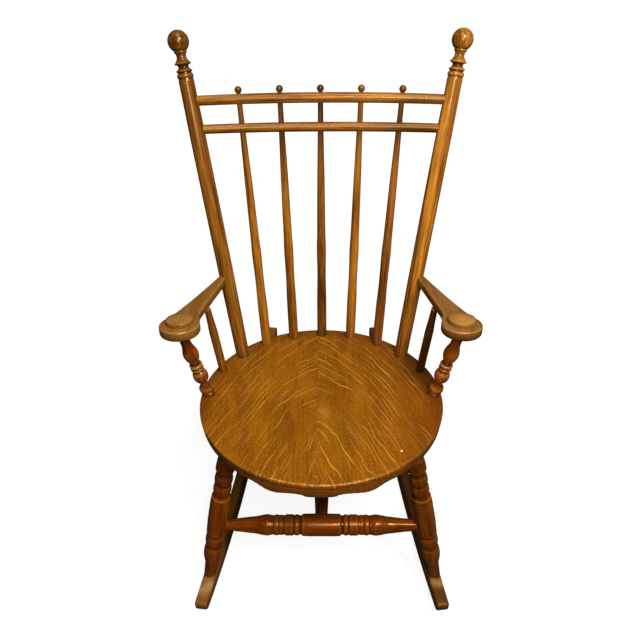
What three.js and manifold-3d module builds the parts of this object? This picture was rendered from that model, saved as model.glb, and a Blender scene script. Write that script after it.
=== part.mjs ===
// A spindle-back arm rocker in golden oak: a round seat in a ring of turned uprights,
// four turned legs joined by an H of stretchers, and two sawn rockers.
// Millimetres, +Z up. The chair faces -Y. Left and right are as seen from in front of it.

import * as THREE from 'three';
import { mergeVertices } from 'three/addons/utils/BufferGeometryUtils.js';
import Module from 'manifold-3d';

const wasm = await Module();
wasm.setup();

// Fits
const fit = 0.3;
const overrun = 40;

// Seat panel and the sawn frame under it
const seatDiameter = 490;
const seatThickness = 9;
const seatEdgeRounding = 3.5;
const seatCentreHeight = 408;
const seatTiltDegrees = 6;
const panelSetBack = 5;
const frameSetBack = 2;
const frameThickness = 15;
const frameWidth = 50;
const frameJointGap = 0.3;
const frameFrontSpanDegrees = 84;
const frameRearSpanDegrees = 50;
const frameStepDegrees = 7;

// Scalloped lower edge of the front of the frame, from the middle outwards
const scallopHalfWidth = 121;
const scallopDepth = 9;

// Ring of uprights: where they stand, as a bearing from straight back
const uprightInset = 16;
const spindleCount = 5;
const spindlePitchDegrees = 16.8;
const postBearingDegrees = 50.4;
const armSpindleBearingDegrees = 67.6;
const armPostBearingDegrees = 88.5;

// Back posts with their ball finials, whose places are measured from the seat's edge
const postRadius = 15.8;
const postTenonRadius = 10;
const finialOutset = 19.4;
const finialSetBack = 86;
const finialHeight = 1005.5;
const finialRadius = 20;
const finialNeckShare = 0.55;
const finialSteps = 6;

// Bent rails between the posts
const upperRailShare = 0.836;
const lowerRailShare = 0.754;
const upperRailRadius = 10;
const lowerRailRadius = 9.4;
const upperRailBow = 18;
const lowerRailDip = 4;
const railTenonRadius = 5.5;
const railTenonLength = 18;

// Back spindles with their ball ends
const spindleRadius = 10.7;
const spindleTenonRadius = 6.5;
const spindleSpacing = 78.8;
const spindleBallRise = 17;
const spindleBallRadius = 6.7;
const spindleNeckShare = 0.7;
const spindleBallSteps = 4;

// Arms: a paddle in front, set out from the seat's edge, and a narrow end against the post
const armThickness = 20;
const armEdgeRounding = 4;
const armTiltDegrees = 11;
const paddleRadius = 36.5;
const paddleOutset = 8;
const paddleForward = 25;
const paddleHeight = 616;
const armWaistBack = 58;
const armWaistInside = 28.5;
const armJoinDegrees = 168;
const armJoinPullShare = 0.5;
const armWaistPullShare = 0.12;
const armOuterTurnDegrees = 18;
const armOuterPullShare = 0.8;
const armEndOutset = 7;
const armEndWidth = 15;
const armTenonRadius = 5;
const armTenonLength = 16;
const capRadius = 25;
const capThickness = 12.5;
const capSpigotRadius = 6;
const capSpigotLength = 5;

// Uprights under the arms
const armPostRadius = 15;
const armPostTenonRadius = 7.5;
const armTopTenonLength = 11;
const armPostTopBack = 4;
const armSpindleRadius = 9;
const armSpindleTenonRadius = 5.5;
const armSpindleTopBack = 94;
const armSpindleTopInset = 33;
const uprightTenonLength = 21;

// Legs
const legRadius = 20;
const legTenonRadius = 10.5;
const legTenonLength = 12;
const legFootTenonRadius = 8;
const legFootTenonLength = 20;
const frontLegBearingDegrees = 128.75;
const frontLegInset = 22;
const frontFootInset = 57;
const rearLegRadius = 17;
const rearLegBearingDegrees = 42;
const rearLegInset = 33;
const rearFootInset = 10;

// Stretchers
const stretcherHeight = 212;
const stretcherRadius = 21.2;
const stretcherTenonRadius = 6.5;
const stretcherTenonLength = 18;
const rearStretcherRadius = 14;
const middleStretcherRadius = 18;

// Rockers, which reach past the seat's front and rear edges
const rockerSweepRadius = 1174;
const rockerThickness = 26;
const rockerEdgeRounding = 2.5;
const rockerHeight = 37.5;
const rockerFrontTipHeight = 24;
const rockerRearTipHeight = 31;
const rockerRestBack = 74;
const rockerFrontReach = 17;
const rockerRearReach = 322;
const rockerFrontOutset = 2.5;
const rockerTurnInDegrees = 6.5;
const rockerFacets = 20;

// Turned profiles read from foot to top. Each cut is a form, its share of the length and the
// share of the radius that it reaches. A bead or cove goes there and comes back.
const formShares = {
  foot: [[0, 1]],
  taper: [[1, 1]],
  swell: [[0.25, 0.2], [0.55, 0.65], [1, 1]],
  ease: [[0.35, 0.15], [0.7, 0.65], [1, 1]],
  bead: [[0.15, 0.65], [0.5, 1], [0.85, 0.65], [1, 0]],
  ring: [[0.3, 1], [0.7, 1], [1, 0]],
};
const postCutShares = [
  ['foot', 0, 0.925], ['taper', 0.17, 0.955], ['taper', 0.2, 1], ['taper', 0.22, 1], ['taper', 0.16, 0.975],
  ['taper', 0.15, 0.925],
];
const finialCutShares = [
  [3.2, 0.72], [3.12, 0.68], [3.05, 0.74], [2.9, 0.74], [2.8, 0.68], [2.62, 0.68],
  [2.52, 0.77], [2.4, 0.68], [2.32, 0.45], [1.98, 0.44], [1.9, 0.74], [1.8, 0.76],
  [1.6, 0.53], [1.3, 0.41], [1.05, 0.43], [1, 0.55],
];
const spindleCutShares = [
  ['foot', 0, 1], ['taper', 0.157, 0.99], ['taper', 0.137, 0.87], ['taper', 0.118, 0.93],
  ['taper', 0.06, 0.86], ['taper', 0.125, 0.78], ['taper', 0.115, 0.7], ['taper', 0.12, 0.58],
  ['taper', 0.115, 0.5], ['taper', 0.031, 0.49], ['taper', 0.012, 0.38],
];
const railCutShares = [
  ['foot', 0, 0.94], ['taper', 0.25, 0.98], ['taper', 0.25, 1], ['taper', 0.25, 0.98],
  ['taper', 0.25, 0.94],
];
const armPostCutShares = [
  ['foot', 0, 0.83], ['taper', 0.075, 0.84], ['bead', 0.07, 0.95], ['ease', 0.05, 0.51],
  ['taper', 0.055, 0.51], ['bead', 0.16, 1], ['taper', 0.02, 0.55], ['ring', 0.09, 0.84],
  ['taper', 0.015, 0.49], ['swell', 0.14, 0.98], ['ease', 0.19, 0.64], ['taper', 0.135, 0.62],
];
const armSpindleCutShares = [
  ['foot', 0, 0.99], ['taper', 0.26, 0.95], ['taper', 0.4, 0.94], ['taper', 0.2, 0.8], ['taper', 0.14, 0.7],
];
const frontLegCutShares = [
  ['foot', 0, 0.61], ['taper', 0.13, 0.68], ['taper', 0.008, 0.79], ['bead', 0.094, 0.95],
  ['bead', 0.086, 0.96], ['taper', 0.012, 0.97], ['taper', 0.115, 1.02], ['taper', 0.115, 0.99],
  ['ring', 0.012, 0.94], ['taper', 0.045, 0.95], ['taper', 0.03, 0.75], ['bead', 0.068, 0.88],
  ['bead', 0.068, 0.88], ['swell', 0.04, 0.92], ['ease', 0.137, 0.64], ['taper', 0.04, 0.6],
];
const rearLegCutShares = [
  ['foot', 0, 0.72], ['taper', 0.16, 0.82], ['swell', 0.24, 1], ['taper', 0.2, 1], ['ease', 0.22, 0.8],
  ['ring', 0.03, 0.9], ['taper', 0.15, 0.72],
];
const stretcherHalfCutShares = [
  ['foot', 0, 0.44], ['taper', 0.228, 0.63], ['taper', 0.105, 0.75], ['swell', 0.16, 0.945],
  ['taper', 0.04, 0.9], ['taper', 0.018, 0.85], ['bead', 0.085, 0.94], ['bead', 0.1, 0.95],
  ['ring', 0.055, 0.93], ['taper', 0.019, 0.84], ['taper', 0.01, 0.98], ['taper', 0.18, 1],
];
const plainStretcherCutShares = [
  ['foot', 0, 0.66], ['taper', 0.22, 0.82], ['taper', 0.2, 0.98], ['taper', 0.16, 1], ['taper', 0.2, 0.98],
  ['taper', 0.22, 0.66],
];
const capShares = [[1, 0], [1, 0.42], [0.92, 0.68], [0.6, 0.9], [0.02, 1]];
// A rocker's end, as setback and height
const rockerEndShares = [[0.2, 0], [0, 0.28], [0, 0.75], [0.16, 1]];
const scallopShares = [
  [1.02, 0], [0.94, 0.09], [0.87, 0.45], [0.8, 0.85], [0.72, 1], [0.64, 0.93], [0.55, 0.62],
  [0.45, 0.3], [0.35, 0.24], [0.28, 0.34], [0.235, 0.64], [0.18, 0.7],
];

// Sides of the turned pieces
const tenonSides = 6;
const slimSides = 8;
const turnedSides = 10;
const stoutSides = 12;
const capSides = 20;
const roundSides = 40;

const radians = THREE.MathUtils.degToRad;
const up = new THREE.Vector3(0, 1, 0);

// Closed solids

function solid(geometry, matrix = new THREE.Matrix4()) {
  const bare = geometry.clone();
  bare.deleteAttribute('normal');
  bare.deleteAttribute('uv');
  bare.applyMatrix4(matrix);
  const merged = mergeVertices(bare);
  const index = merged.index.array;
  const triangles = [];
  for (let i = 0; i < index.length; i += 3) {
    const [a, b, c] = index.slice(i, i + 3);
    if (a !== b && b !== c && c !== a) triangles.push(a, b, c);
  }
  return new wasm.Manifold(new wasm.Mesh({
    numProp: 3,
    vertProperties: Float32Array.from(merged.attributes.position.array),
    triVerts: Uint32Array.from(triangles),
  }));
}

const pieces = [];

function keep(name, material, body, frame) {
  pieces.push({ name, material, body, frame });
}

function bore(name, ...tools) {
  const piece = pieces.find((each) => each.name === name);
  for (const tool of tools) piece.body = piece.body.subtract(tool);
}

function meshOf({ name, material, body, frame }) {
  const { vertProperties, triVerts } = body.getMesh();
  const geometry = new THREE.BufferGeometry();
  geometry.setAttribute('position', new THREE.BufferAttribute(Float32Array.from(vertProperties), 3));
  geometry.setIndex(new THREE.BufferAttribute(Uint32Array.from(triVerts), 1));
  geometry.applyMatrix4(frame.clone().invert());
  geometry.computeVertexNormals();
  const mesh = new THREE.Mesh(geometry, material);
  mesh.name = name;
  frame.decompose(mesh.position, mesh.quaternion, mesh.scale);
  return mesh;
}

// Turned pieces

function axisBetween(foot, top) {
  const direction = top.clone().sub(foot).normalize();
  const turn = new THREE.Quaternion().setFromUnitVectors(up, direction);
  const frame = new THREE.Matrix4().compose(foot, turn, new THREE.Vector3(1, 1, 1));
  return { foot, top, direction, frame, length: foot.distanceTo(top) };
}

function pointOn(axis, distance) {
  return axis.foot.clone().addScaledVector(axis.direction, distance);
}

function cutPoints(cuts, length, radius) {
  const points = [];
  let height = 0;
  let current = 0;
  for (const [form, runShare, reachShare] of cuts) {
    for (const [along, blend] of formShares[form]) {
      const share = current + (reachShare - current) * blend;
      points.push(new THREE.Vector2(share * radius, (height + runShare * along) * length));
    }
    height += runShare;
    if (form !== 'bead' && form !== 'ring') current = reachShare;
  }
  return points;
}

function turned(axis, points, sides, grow = 0) {
  const grown = points.map((point) => new THREE.Vector2(point.x + grow, point.y));
  const first = grown[0];
  const last = grown[grown.length - 1];
  const closed = [new THREE.Vector2(0, first.y - grow), new THREE.Vector2(first.x, first.y - grow),
    ...grown.slice(1, -1), new THREE.Vector2(last.x, last.y + grow),
    new THREE.Vector2(0, last.y + grow)];
  return solid(new THREE.LatheGeometry(closed, sides), axis.frame);
}

function rod(axis, from, to, radius, sides, grow = 0) {
  const ends = [new THREE.Vector2(radius, from), new THREE.Vector2(radius, to)];
  return turned(axis, ends, sides, grow);
}

// A profile's radius at a height, between its two nearest points
function radiusAt(points, height) {
  const above = points.findIndex((point) => point.y > height);
  const [low, high] = [points[above - 1], points[above]];
  return low.x + (high.x - low.x) * ((height - low.y) / (high.y - low.y));
}

// A block whose top face passes through a point, square to a direction
function blockBelow(point, direction, size = seatDiameter) {
  const turn = new THREE.Quaternion().setFromUnitVectors(up, direction);
  const frame = new THREE.Matrix4().compose(point, turn, new THREE.Vector3(1, 1, 1));
  frame.multiply(new THREE.Matrix4().makeTranslation(0, -size / 2, 0));
  return solid(new THREE.BoxGeometry(size, size, size), frame);
}

// Seat

const seatRadius = seatDiameter / 2;
const frontFoot = seatRadius - frontFootInset;
const rearFoot = seatRadius - rearFootInset;
const frontTip = seatRadius + rockerFrontReach;
const rearTip = seatRadius + rockerRearReach;
const seatFrame = new THREE.Matrix4()
  .makeRotationX(radians(-seatTiltDegrees))
  .setPosition(0, 0, seatCentreHeight);
const seatUp = new THREE.Vector3(0, 0, 1).transformDirection(seatFrame);

// The round panel and its frame sit a little behind the middle of the ring of uprights
const panelFrame = seatFrame.clone().multiply(new THREE.Matrix4().makeTranslation(0, panelSetBack, 0));

function seatPoint(bearingDegrees, inset, depth) {
  const bearing = radians(bearingDegrees);
  const radius = seatRadius - inset;
  return new THREE.Vector3(radius * Math.sin(bearing), radius * Math.cos(bearing), -depth)
    .applyMatrix4(seatFrame);
}

function seatPanel() {
  const inner = seatRadius - seatEdgeRounding;
  const low = -seatThickness + seatEdgeRounding;
  const edge = new THREE.Path();
  edge.moveTo(0, -seatThickness);
  edge.lineTo(inner, -seatThickness);
  edge.absarc(inner, low, seatEdgeRounding, -Math.PI / 2, 0);
  edge.absarc(inner, -seatEdgeRounding, seatEdgeRounding, 0, Math.PI / 2);
  edge.lineTo(0, 0);
  const lathe = new THREE.LatheGeometry(edge.getPoints(2), roundSides);
  lathe.rotateX(Math.PI / 2);
  return solid(lathe, panelFrame);
}

const frameOuter = seatRadius - frameSetBack;
const frameInner = frameOuter - frameWidth;
const frameTop = seatThickness + fit;
const frameBottom = frameTop + frameThickness;

// One sawn length of the frame, from one bearing to another, hanging down by its depth
function frameLength(fromDegrees, toDegrees, depth) {
  const gap = frameJointGap / 2;
  const from = radians(90 - toDegrees);
  const to = radians(90 - fromDegrees);
  const shape = new THREE.Shape();
  shape.absarc(0, 0, frameOuter, from + gap / frameOuter, to - gap / frameOuter, false);
  shape.absarc(0, 0, frameInner, to - gap / frameInner, from + gap / frameInner, true);
  const steps = Math.ceil((toDegrees - fromDegrees) / frameStepDegrees);
  const geometry = new THREE.ExtrudeGeometry(shape, {
    depth, bevelEnabled: false, curveSegments: steps,
  });
  geometry.translate(0, 0, -frameTop - depth);
  return solid(geometry, panelFrame);
}

// What is sawn away below the scalloped edge of the front length
function scallopWaste() {
  const bottom = -frameBottom - scallopDepth - overrun;
  const side = scallopShares.map(([along, drop]) => new THREE.Vector2(
    along * scallopHalfWidth, -frameBottom - drop * scallopDepth));
  const mirrored = side.map((point) => new THREE.Vector2(-point.x, point.y)).reverse();
  const outer = seatRadius + overrun;
  const shape = new THREE.Shape([
    new THREE.Vector2(outer, -frameBottom), ...side, ...mirrored,
    new THREE.Vector2(-outer, -frameBottom), new THREE.Vector2(-outer, bottom),
    new THREE.Vector2(outer, bottom),
  ]);
  const depth = seatDiameter;
  const geometry = new THREE.ExtrudeGeometry(shape, { depth, bevelEnabled: false });
  geometry.rotateX(Math.PI / 2);
  return solid(geometry, panelFrame);
}

// Back posts, rails and spindles

// The rest of a ball, from the neck that it grows out of to its top
function ballPoints(height, radius, neckShare, steps) {
  const start = -Math.acos(neckShare);
  return Array.from({ length: steps + 1 }, (_, index) => {
    const angle = start + (Math.PI / 2 - start) * (index / steps);
    return new THREE.Vector2(radius * Math.cos(angle), height + radius * Math.sin(angle));
  });
}

function postPoints(length) {
  const plain = cutPoints(postCutShares, length, postRadius);
  const finial = finialCutShares.map(([below, share]) => new THREE.Vector2(
    share * finialRadius, length - below * finialRadius));
  const ball = ballPoints(length, finialRadius, finialNeckShare, finialSteps);
  return [...plain.filter((point) => point.y < finial[0].y), ...finial, ...ball];
}

const postAxes = [-1, 1].map((side) => axisBetween(
  seatPoint(side * postBearingDegrees, uprightInset, 0),
  new THREE.Vector3(side * (seatRadius + finialOutset), seatRadius + finialSetBack, finialHeight),
));

// A rail's centre line is a shallow bow between the two posts
function railBetween(share, radius, bow, dip) {
  const ends = postAxes.map((axis) => pointOn(axis, axis.length * share));
  const half = ends[1].x;
  const axis = axisBetween(ends[0], ends[1]);
  const middle = ends[0].clone().lerp(ends[1], 0.5);
  return { axis, half, radius, bow, dip, middle };
}

function railPoint(rail, x) {
  const rise = 1 - (x / rail.half) ** 2;
  return new THREE.Vector3(x, rail.middle.y + rail.bow * rise, rail.middle.z - rail.dip * rise);
}

const upperRail = railBetween(upperRailShare, upperRailRadius, upperRailBow, 0);
const spindleAxes = Array.from({ length: spindleCount }, (_, index) => {
  const place = index - (spindleCount - 1) / 2;
  const foot = seatPoint(place * spindlePitchDegrees, uprightInset, 0);
  const aim = railPoint(upperRail, place * spindleSpacing);
  const direction = aim.clone().sub(foot).normalize();
  return axisBetween(foot, aim.addScaledVector(direction, spindleBallRise));
});

// The lower rail bows just far enough to take the middle spindle
function lowerRailBow() {
  const level = railBetween(lowerRailShare, lowerRailRadius, 0, 0).middle;
  const spindle = spindleAxes[(spindleCount - 1) / 2];
  const rise = (level.z - lowerRailDip - spindle.foot.z) / spindle.direction.z;
  return pointOn(spindle, rise).y - level.y;
}
const lowerRail = railBetween(lowerRailShare, lowerRailRadius, lowerRailBow(), lowerRailDip);

function bentAlong(rail, points, sides, grow = 0) {
  const closed = [new THREE.Vector2(0, points[0].y - grow),
    ...points.map((point) => new THREE.Vector2(point.x + grow, point.y)),
    new THREE.Vector2(0, points[points.length - 1].y + grow)];
  closed[1].y -= grow;
  closed[closed.length - 2].y += grow;
  const geometry = new THREE.LatheGeometry(closed, sides);
  geometry.applyMatrix4(rail.axis.frame);
  const position = geometry.attributes.position;
  for (let i = 0; i < position.count; i += 1) {
    const rise = 1 - (position.getX(i) / rail.half) ** 2;
    position.setY(i, position.getY(i) + rail.bow * rise);
    position.setZ(i, position.getZ(i) - rail.dip * rise);
  }
  return solid(geometry);
}

function railTenons(rail, grow = 0) {
  const inner = postRadius + railTenonRadius;
  const outer = postRadius - railTenonLength;
  const near = [new THREE.Vector2(railTenonRadius, outer), new THREE.Vector2(railTenonRadius, inner)];
  const far = near.map((point) => new THREE.Vector2(point.x, rail.axis.length - point.y)).reverse();
  return [near, far].map((points) => bentAlong(rail, points, tenonSides, grow));
}

function spindlePoints(length) {
  const shaft = cutPoints(spindleCutShares, length, spindleRadius);
  return [...shaft, ...ballPoints(length, spindleBallRadius, spindleNeckShare, spindleBallSteps)];
}

// Arms

const armUp = new THREE.Vector3(0, Math.sin(radians(armTiltDegrees)), Math.cos(radians(armTiltDegrees)));

// The arm's own frame: at the middle of the paddle's top face, X outwards, Y back along the slope
function armFrameOf(side) {
  const back = new THREE.Vector3(0, Math.cos(radians(armTiltDegrees)), -Math.sin(radians(armTiltDegrees)));
  const across = new THREE.Vector3(1, 0, 0);
  return new THREE.Matrix4().makeBasis(across, back, armUp)
    .setPosition(side * (seatRadius + paddleOutset), -paddleForward, paddleHeight);
}

// Where the middle of the arm's thickness meets the post's axis, in the arm's own frame
function armEnd(side) {
  const axis = postAxes[side < 0 ? 0 : 1];
  const toArm = armFrameOf(side).invert();
  const [foot, top] = [axis.foot, axis.top].map((point) => point.clone().applyMatrix4(toArm));
  return foot.lerp(top, (-armThickness / 2 - foot.z) / (top.z - foot.z));
}

// The outer edge runs almost straight back from the paddle, and the inner edge has a waist
function armOutline() {
  const end = armEnd(1);
  const outer = new THREE.Vector2(end.x + armEndOutset + armEndWidth / 2, end.y);
  const inner = new THREE.Vector2(outer.x - armEndWidth, end.y);
  const waist = new THREE.Vector2(-armWaistInside, armWaistBack);
  const leave = outer.angle() - Math.acos(paddleRadius / outer.length())
    + radians(armOuterTurnDegrees);
  const join = radians(armJoinDegrees);
  const onPaddle = (angle) => new THREE.Vector2(Math.cos(angle), Math.sin(angle))
    .multiplyScalar(paddleRadius);
  const outerAim = onPaddle(leave).addScaledVector(onPaddle(leave + Math.PI / 2), armOuterPullShare);
  const joinAim = onPaddle(join).addScaledVector(onPaddle(join - Math.PI / 2), armJoinPullShare);
  const waistAim = waist.clone().lerp(inner, -armWaistPullShare);
  const shape = new THREE.Shape();
  shape.moveTo(outer.x, outer.y);
  shape.quadraticCurveTo(outerAim.x, outerAim.y, onPaddle(leave).x, onPaddle(leave).y);
  shape.absarc(0, 0, paddleRadius, leave, join - 2 * Math.PI, true);
  shape.bezierCurveTo(joinAim.x, joinAim.y, waistAim.x, waistAim.y, waist.x, waist.y);
  shape.lineTo(inner.x, inner.y);
  return shape;
}

function armBody(side) {
  const geometry = new THREE.ExtrudeGeometry(armOutline(), {
    depth: armThickness - 2 * armEdgeRounding,
    bevelThickness: armEdgeRounding,
    bevelSize: armEdgeRounding,
    bevelOffset: -armEdgeRounding,
    bevelSegments: 1,
    curveSegments: 6,
  });
  geometry.translate(0, 0, armEdgeRounding - armThickness);
  if (side < 0) {
    geometry.scale(-1, 1, 1);
    const index = geometry.attributes.position;
    for (let i = 0; i < index.count; i += 3) {
      const first = new THREE.Vector3().fromBufferAttribute(index, i);
      const third = new THREE.Vector3().fromBufferAttribute(index, i + 2);
      index.setXYZ(i, third.x, third.y, third.z);
      index.setXYZ(i + 2, first.x, first.y, first.z);
    }
  }
  return solid(geometry, armFrameOf(side));
}

// Rockers

const rockerTurn = radians(rockerTurnInDegrees);

function rockerFrameOf(side) {
  const along = new THREE.Vector3(-side * Math.sin(rockerTurn), Math.cos(rockerTurn), 0);
  const vertical = new THREE.Vector3(0, 0, 1);
  const across = along.clone().cross(vertical);
  const inward = (rockerRestBack + frontTip) * Math.tan(rockerTurn);
  return new THREE.Matrix4().makeBasis(along, vertical, across)
    .setPosition(side * (seatRadius + rockerFrontOutset - inward), rockerRestBack, 0);
}

// Height of the rocker's underside at a distance along it from where it rests
function sweepHeight(along) {
  return rockerSweepRadius - Math.sqrt(rockerSweepRadius ** 2 - along ** 2);
}

// Distance along the rocker of a place behind the seat's centre
function alongRocker(back) {
  return (back - rockerRestBack) / Math.cos(rockerTurn);
}

// The rocker is deepest between the legs and slimmer towards its tips
function rockerDepthAt(along) {
  const [front, frontLeg, rearLeg, rear] = [-frontTip, -frontFoot, rearFoot, rearTip].map(alongRocker);
  if (along < frontLeg) {
    const share = (along - front) / (frontLeg - front);
    return rockerFrontTipHeight + (rockerHeight - rockerFrontTipHeight) * share;
  }
  if (along > rearLeg) {
    const share = (along - rear) / (rearLeg - rear);
    return rockerRearTipHeight + (rockerHeight - rockerRearTipHeight) * share;
  }
  return rockerHeight;
}

function rockerOutline() {
  const front = alongRocker(-frontTip);
  const rear = alongRocker(rearTip);
  const pitch = (rear - front) / rockerFacets;
  const flat = sweepHeight(pitch / 2);
  const stations = [];
  for (let along = pitch / 2; along < rear - pitch / 2; along += pitch) stations.push(along);
  for (let along = -pitch / 2; along > front + pitch / 2; along -= pitch) stations.unshift(along);
  const lower = (along) => new THREE.Vector2(along, sweepHeight(along) - flat);
  const upper = (along) => new THREE.Vector2(along, lower(along).y + rockerDepthAt(along));
  const endPoints = (tip, inward, height) => rockerEndShares.map(([setback, rise]) => {
    const along = tip + inward * setback * height;
    return lower(along).lerp(upper(along), rise);
  });
  return new THREE.Shape([
    ...stations.map(lower), ...endPoints(rear, -1, rockerRearTipHeight),
    ...stations.map(upper).reverse(), ...endPoints(front, 1, rockerFrontTipHeight).reverse(),
  ]);
}

function rockerBody(side) {
  const geometry = new THREE.ExtrudeGeometry(rockerOutline(), {
    depth: rockerThickness - 2 * rockerEdgeRounding,
    bevelThickness: rockerEdgeRounding,
    bevelSize: rockerEdgeRounding,
    bevelOffset: -rockerEdgeRounding,
    bevelSegments: 1,
  });
  geometry.translate(0, 0, rockerEdgeRounding - rockerThickness / 2);
  return solid(geometry, rockerFrameOf(side));
}

// The middle of the rocker's top face at a distance behind the seat's centre
function rockerTopPoint(side, back) {
  const along = alongRocker(back);
  return new THREE.Vector3(along, sweepHeight(along) + rockerDepthAt(along), 0)
    .applyMatrix4(rockerFrameOf(side));
}

// The square of the rocker's top face there
function rockerTopNormal(side, back) {
  const step = rockerThickness / 2;
  const rise = rockerTopPoint(side, back + step).sub(rockerTopPoint(side, back - step));
  const across = new THREE.Vector3().setFromMatrixColumn(rockerFrameOf(side), 2);
  return across.cross(rise).normalize();
}

// Wood, from the honey of the arms to the red-brown of the legs
function oak(color, roughness) {
  return new THREE.MeshStandardMaterial({ color, roughness, metalness: 0 });
}
const seatOak = oak('#a06015', 0.35);
const postOak = oak('#93500f', 0.38);
const armOak = oak('#a46b2a', 0.4);
const legOak = oak('#6d3410', 0.38);
const rockerOak = oak('#8f6428', 0.5);

// Assembly: each piece is turned or sawn, then bored for the tenons of the pieces it carries

keep('seat_panel', seatOak, seatPanel(), panelFrame);

const frontHalf = frameFrontSpanDegrees / 2;
const rearHalf = frameRearSpanDegrees / 2;
const frameDrop = frameThickness + scallopDepth;
const frameLengths = [
  ['frame_front', 180 - frontHalf, 180 + frontHalf, frameDrop],
  ['frame_right', rearHalf, 180 - frontHalf, frameThickness],
  ['frame_rear', -rearHalf, rearHalf, frameThickness],
  ['frame_left', frontHalf - 180, -rearHalf, frameThickness],
];
const frameNames = frameLengths.map(([name]) => name);
for (const [name, from, to, depth] of frameLengths) {
  keep(name, legOak, frameLength(from, to, depth), panelFrame);
}
bore('frame_front', scallopWaste());

const seatTopBlock = blockBelow(seatPoint(0, seatRadius, -fit), seatUp, 2 * seatDiameter);

function standOnSeat(name, material, axis, points, tenonRadius, sides) {
  const tenon = (grow) => rod(axis, -uprightTenonLength, tenonRadius, tenonRadius, tenonSides, grow);
  const body = turned(axis, points, sides).subtract(seatTopBlock).add(tenon(0));
  keep(name, material, body, axis.frame);
  for (const carrier of ['seat_panel', ...frameNames]) bore(carrier, tenon(fit));
}

const sides = [['left', -1], ['right', 1]];

sides.forEach(([hand], index) => {
  const axis = postAxes[index];
  const points = postPoints(axis.length);
  points[0].y = -postRadius;
  standOnSeat(`back_post_${hand}`, postOak, axis, points, postTenonRadius, turnedSides);
});

for (const [name, rail] of [['upper_rail', upperRail], ['lower_rail', lowerRail]]) {
  const points = cutPoints(railCutShares, rail.axis.length, rail.radius);
  let body = bentAlong(rail, points, slimSides);
  for (const axis of postAxes) {
    body = body.subtract(turned(axis, postPoints(axis.length), turnedSides, fit));
  }
  for (const tenon of railTenons(rail)) body = body.add(tenon);
  keep(name, postOak, body, rail.axis.frame);
  railTenons(rail, fit).forEach((hole, index) => bore(`back_post_${sides[index][0]}`, hole));
}

spindleAxes.forEach((axis, index) => {
  const points = spindlePoints(axis.length);
  for (const [name, rail] of [['upper_rail', upperRail], ['lower_rail', lowerRail]]) {
    const along = (rail.middle.z - rail.dip - axis.foot.z) / axis.direction.z;
    const span = [along - 2 * rail.radius, along + 2 * rail.radius];
    const ends = span.map((height) => new THREE.Vector2(radiusAt(points, height), height));
    bore(name, turned(axis, ends, slimSides, fit));
  }
  points[0].y = -spindleRadius;
  standOnSeat(`back_spindle_${index + 1}`, postOak, axis, points, spindleTenonRadius, slimSides);
});

sides.forEach(([hand, side], index) => {
  const post = postAxes[index];
  const armFrame = armFrameOf(side);
  const waistMiddle = new THREE.Vector3(
    side * (paddleRadius / 2 - armWaistInside) / 2, armWaistBack, -armThickness / 2);
  const tenonAxis = axisBetween(
    armEnd(side).applyMatrix4(armFrame), waistMiddle.applyMatrix4(armFrame));
  const tenon = (grow) => rod(
    tenonAxis, postRadius - armTenonLength, 2 * postRadius, armTenonRadius, tenonSides, grow);
  let body = armBody(side).subtract(turned(post, postPoints(post.length), turnedSides, fit));
  body = body.add(tenon(0));
  keep(`arm_${hand}`, armOak, body, armFrame);
  bore(`back_post_${hand}`, tenon(fit));

  const underside = new THREE.Vector3(0, 0, -armThickness).applyMatrix4(armFrame);
  const underArm = blockBelow(underside.clone().addScaledVector(armUp, -fit), armUp.clone().negate());
  const uprights = [
    ['arm_post', armPostBearingDegrees, new THREE.Vector3(0, armPostTopBack, -armThickness),
      armPostTenonRadius, armPostCutShares, armPostRadius, turnedSides],
    ['arm_spindle', armSpindleBearingDegrees,
      new THREE.Vector3(-side * armSpindleTopInset, armSpindleTopBack, -armThickness),
      armSpindleTenonRadius, armSpindleCutShares, armSpindleRadius, slimSides],
  ];
  for (const [name, bearing, top, tenonRadius, cuts, radius, count] of uprights) {
    const foot = seatPoint(side * bearing, uprightInset, 0);
    const axis = axisBetween(foot, top.applyMatrix4(armFrame));
    const points = cutPoints(cuts, axis.length, radius);
    points[0].y = -radius;
    points[points.length - 1].y += radius;
    standOnSeat(`${name}_${hand}`, postOak, axis, points, tenonRadius, count);
    const piece = pieces[pieces.length - 1];
    const topTenon = (grow) => rod(axis, axis.length - tenonRadius,
      axis.length + armTopTenonLength, tenonRadius, tenonSides, grow);
    piece.body = piece.body.subtract(underArm).add(topTenon(0));
    bore(`arm_${hand}`, topTenon(fit));
  }

  const capBase = new THREE.Vector3(0, armPostTopBack, fit).applyMatrix4(armFrame);
  const capAxis = axisBetween(capBase, capBase.clone().addScaledVector(armUp, capThickness));
  const capPoints = capShares.map(([share, rise]) => new THREE.Vector2(
    share * capRadius, rise * capThickness));
  const spigot = (grow) => rod(
    capAxis, -capSpigotLength, capThickness / 2, capSpigotRadius, tenonSides, grow);
  keep(`arm_cap_${hand}`, armOak,
    turned(capAxis, capPoints, capSides).add(spigot(0)), capAxis.frame);
  bore(`arm_${hand}`, spigot(fit));
});

// Rockers and legs

const frameUnderside = blockBelow(
  seatPoint(0, seatRadius, frameBottom + fit), seatUp.clone().negate(), 2 * seatDiameter);
const legAxes = {};

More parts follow.
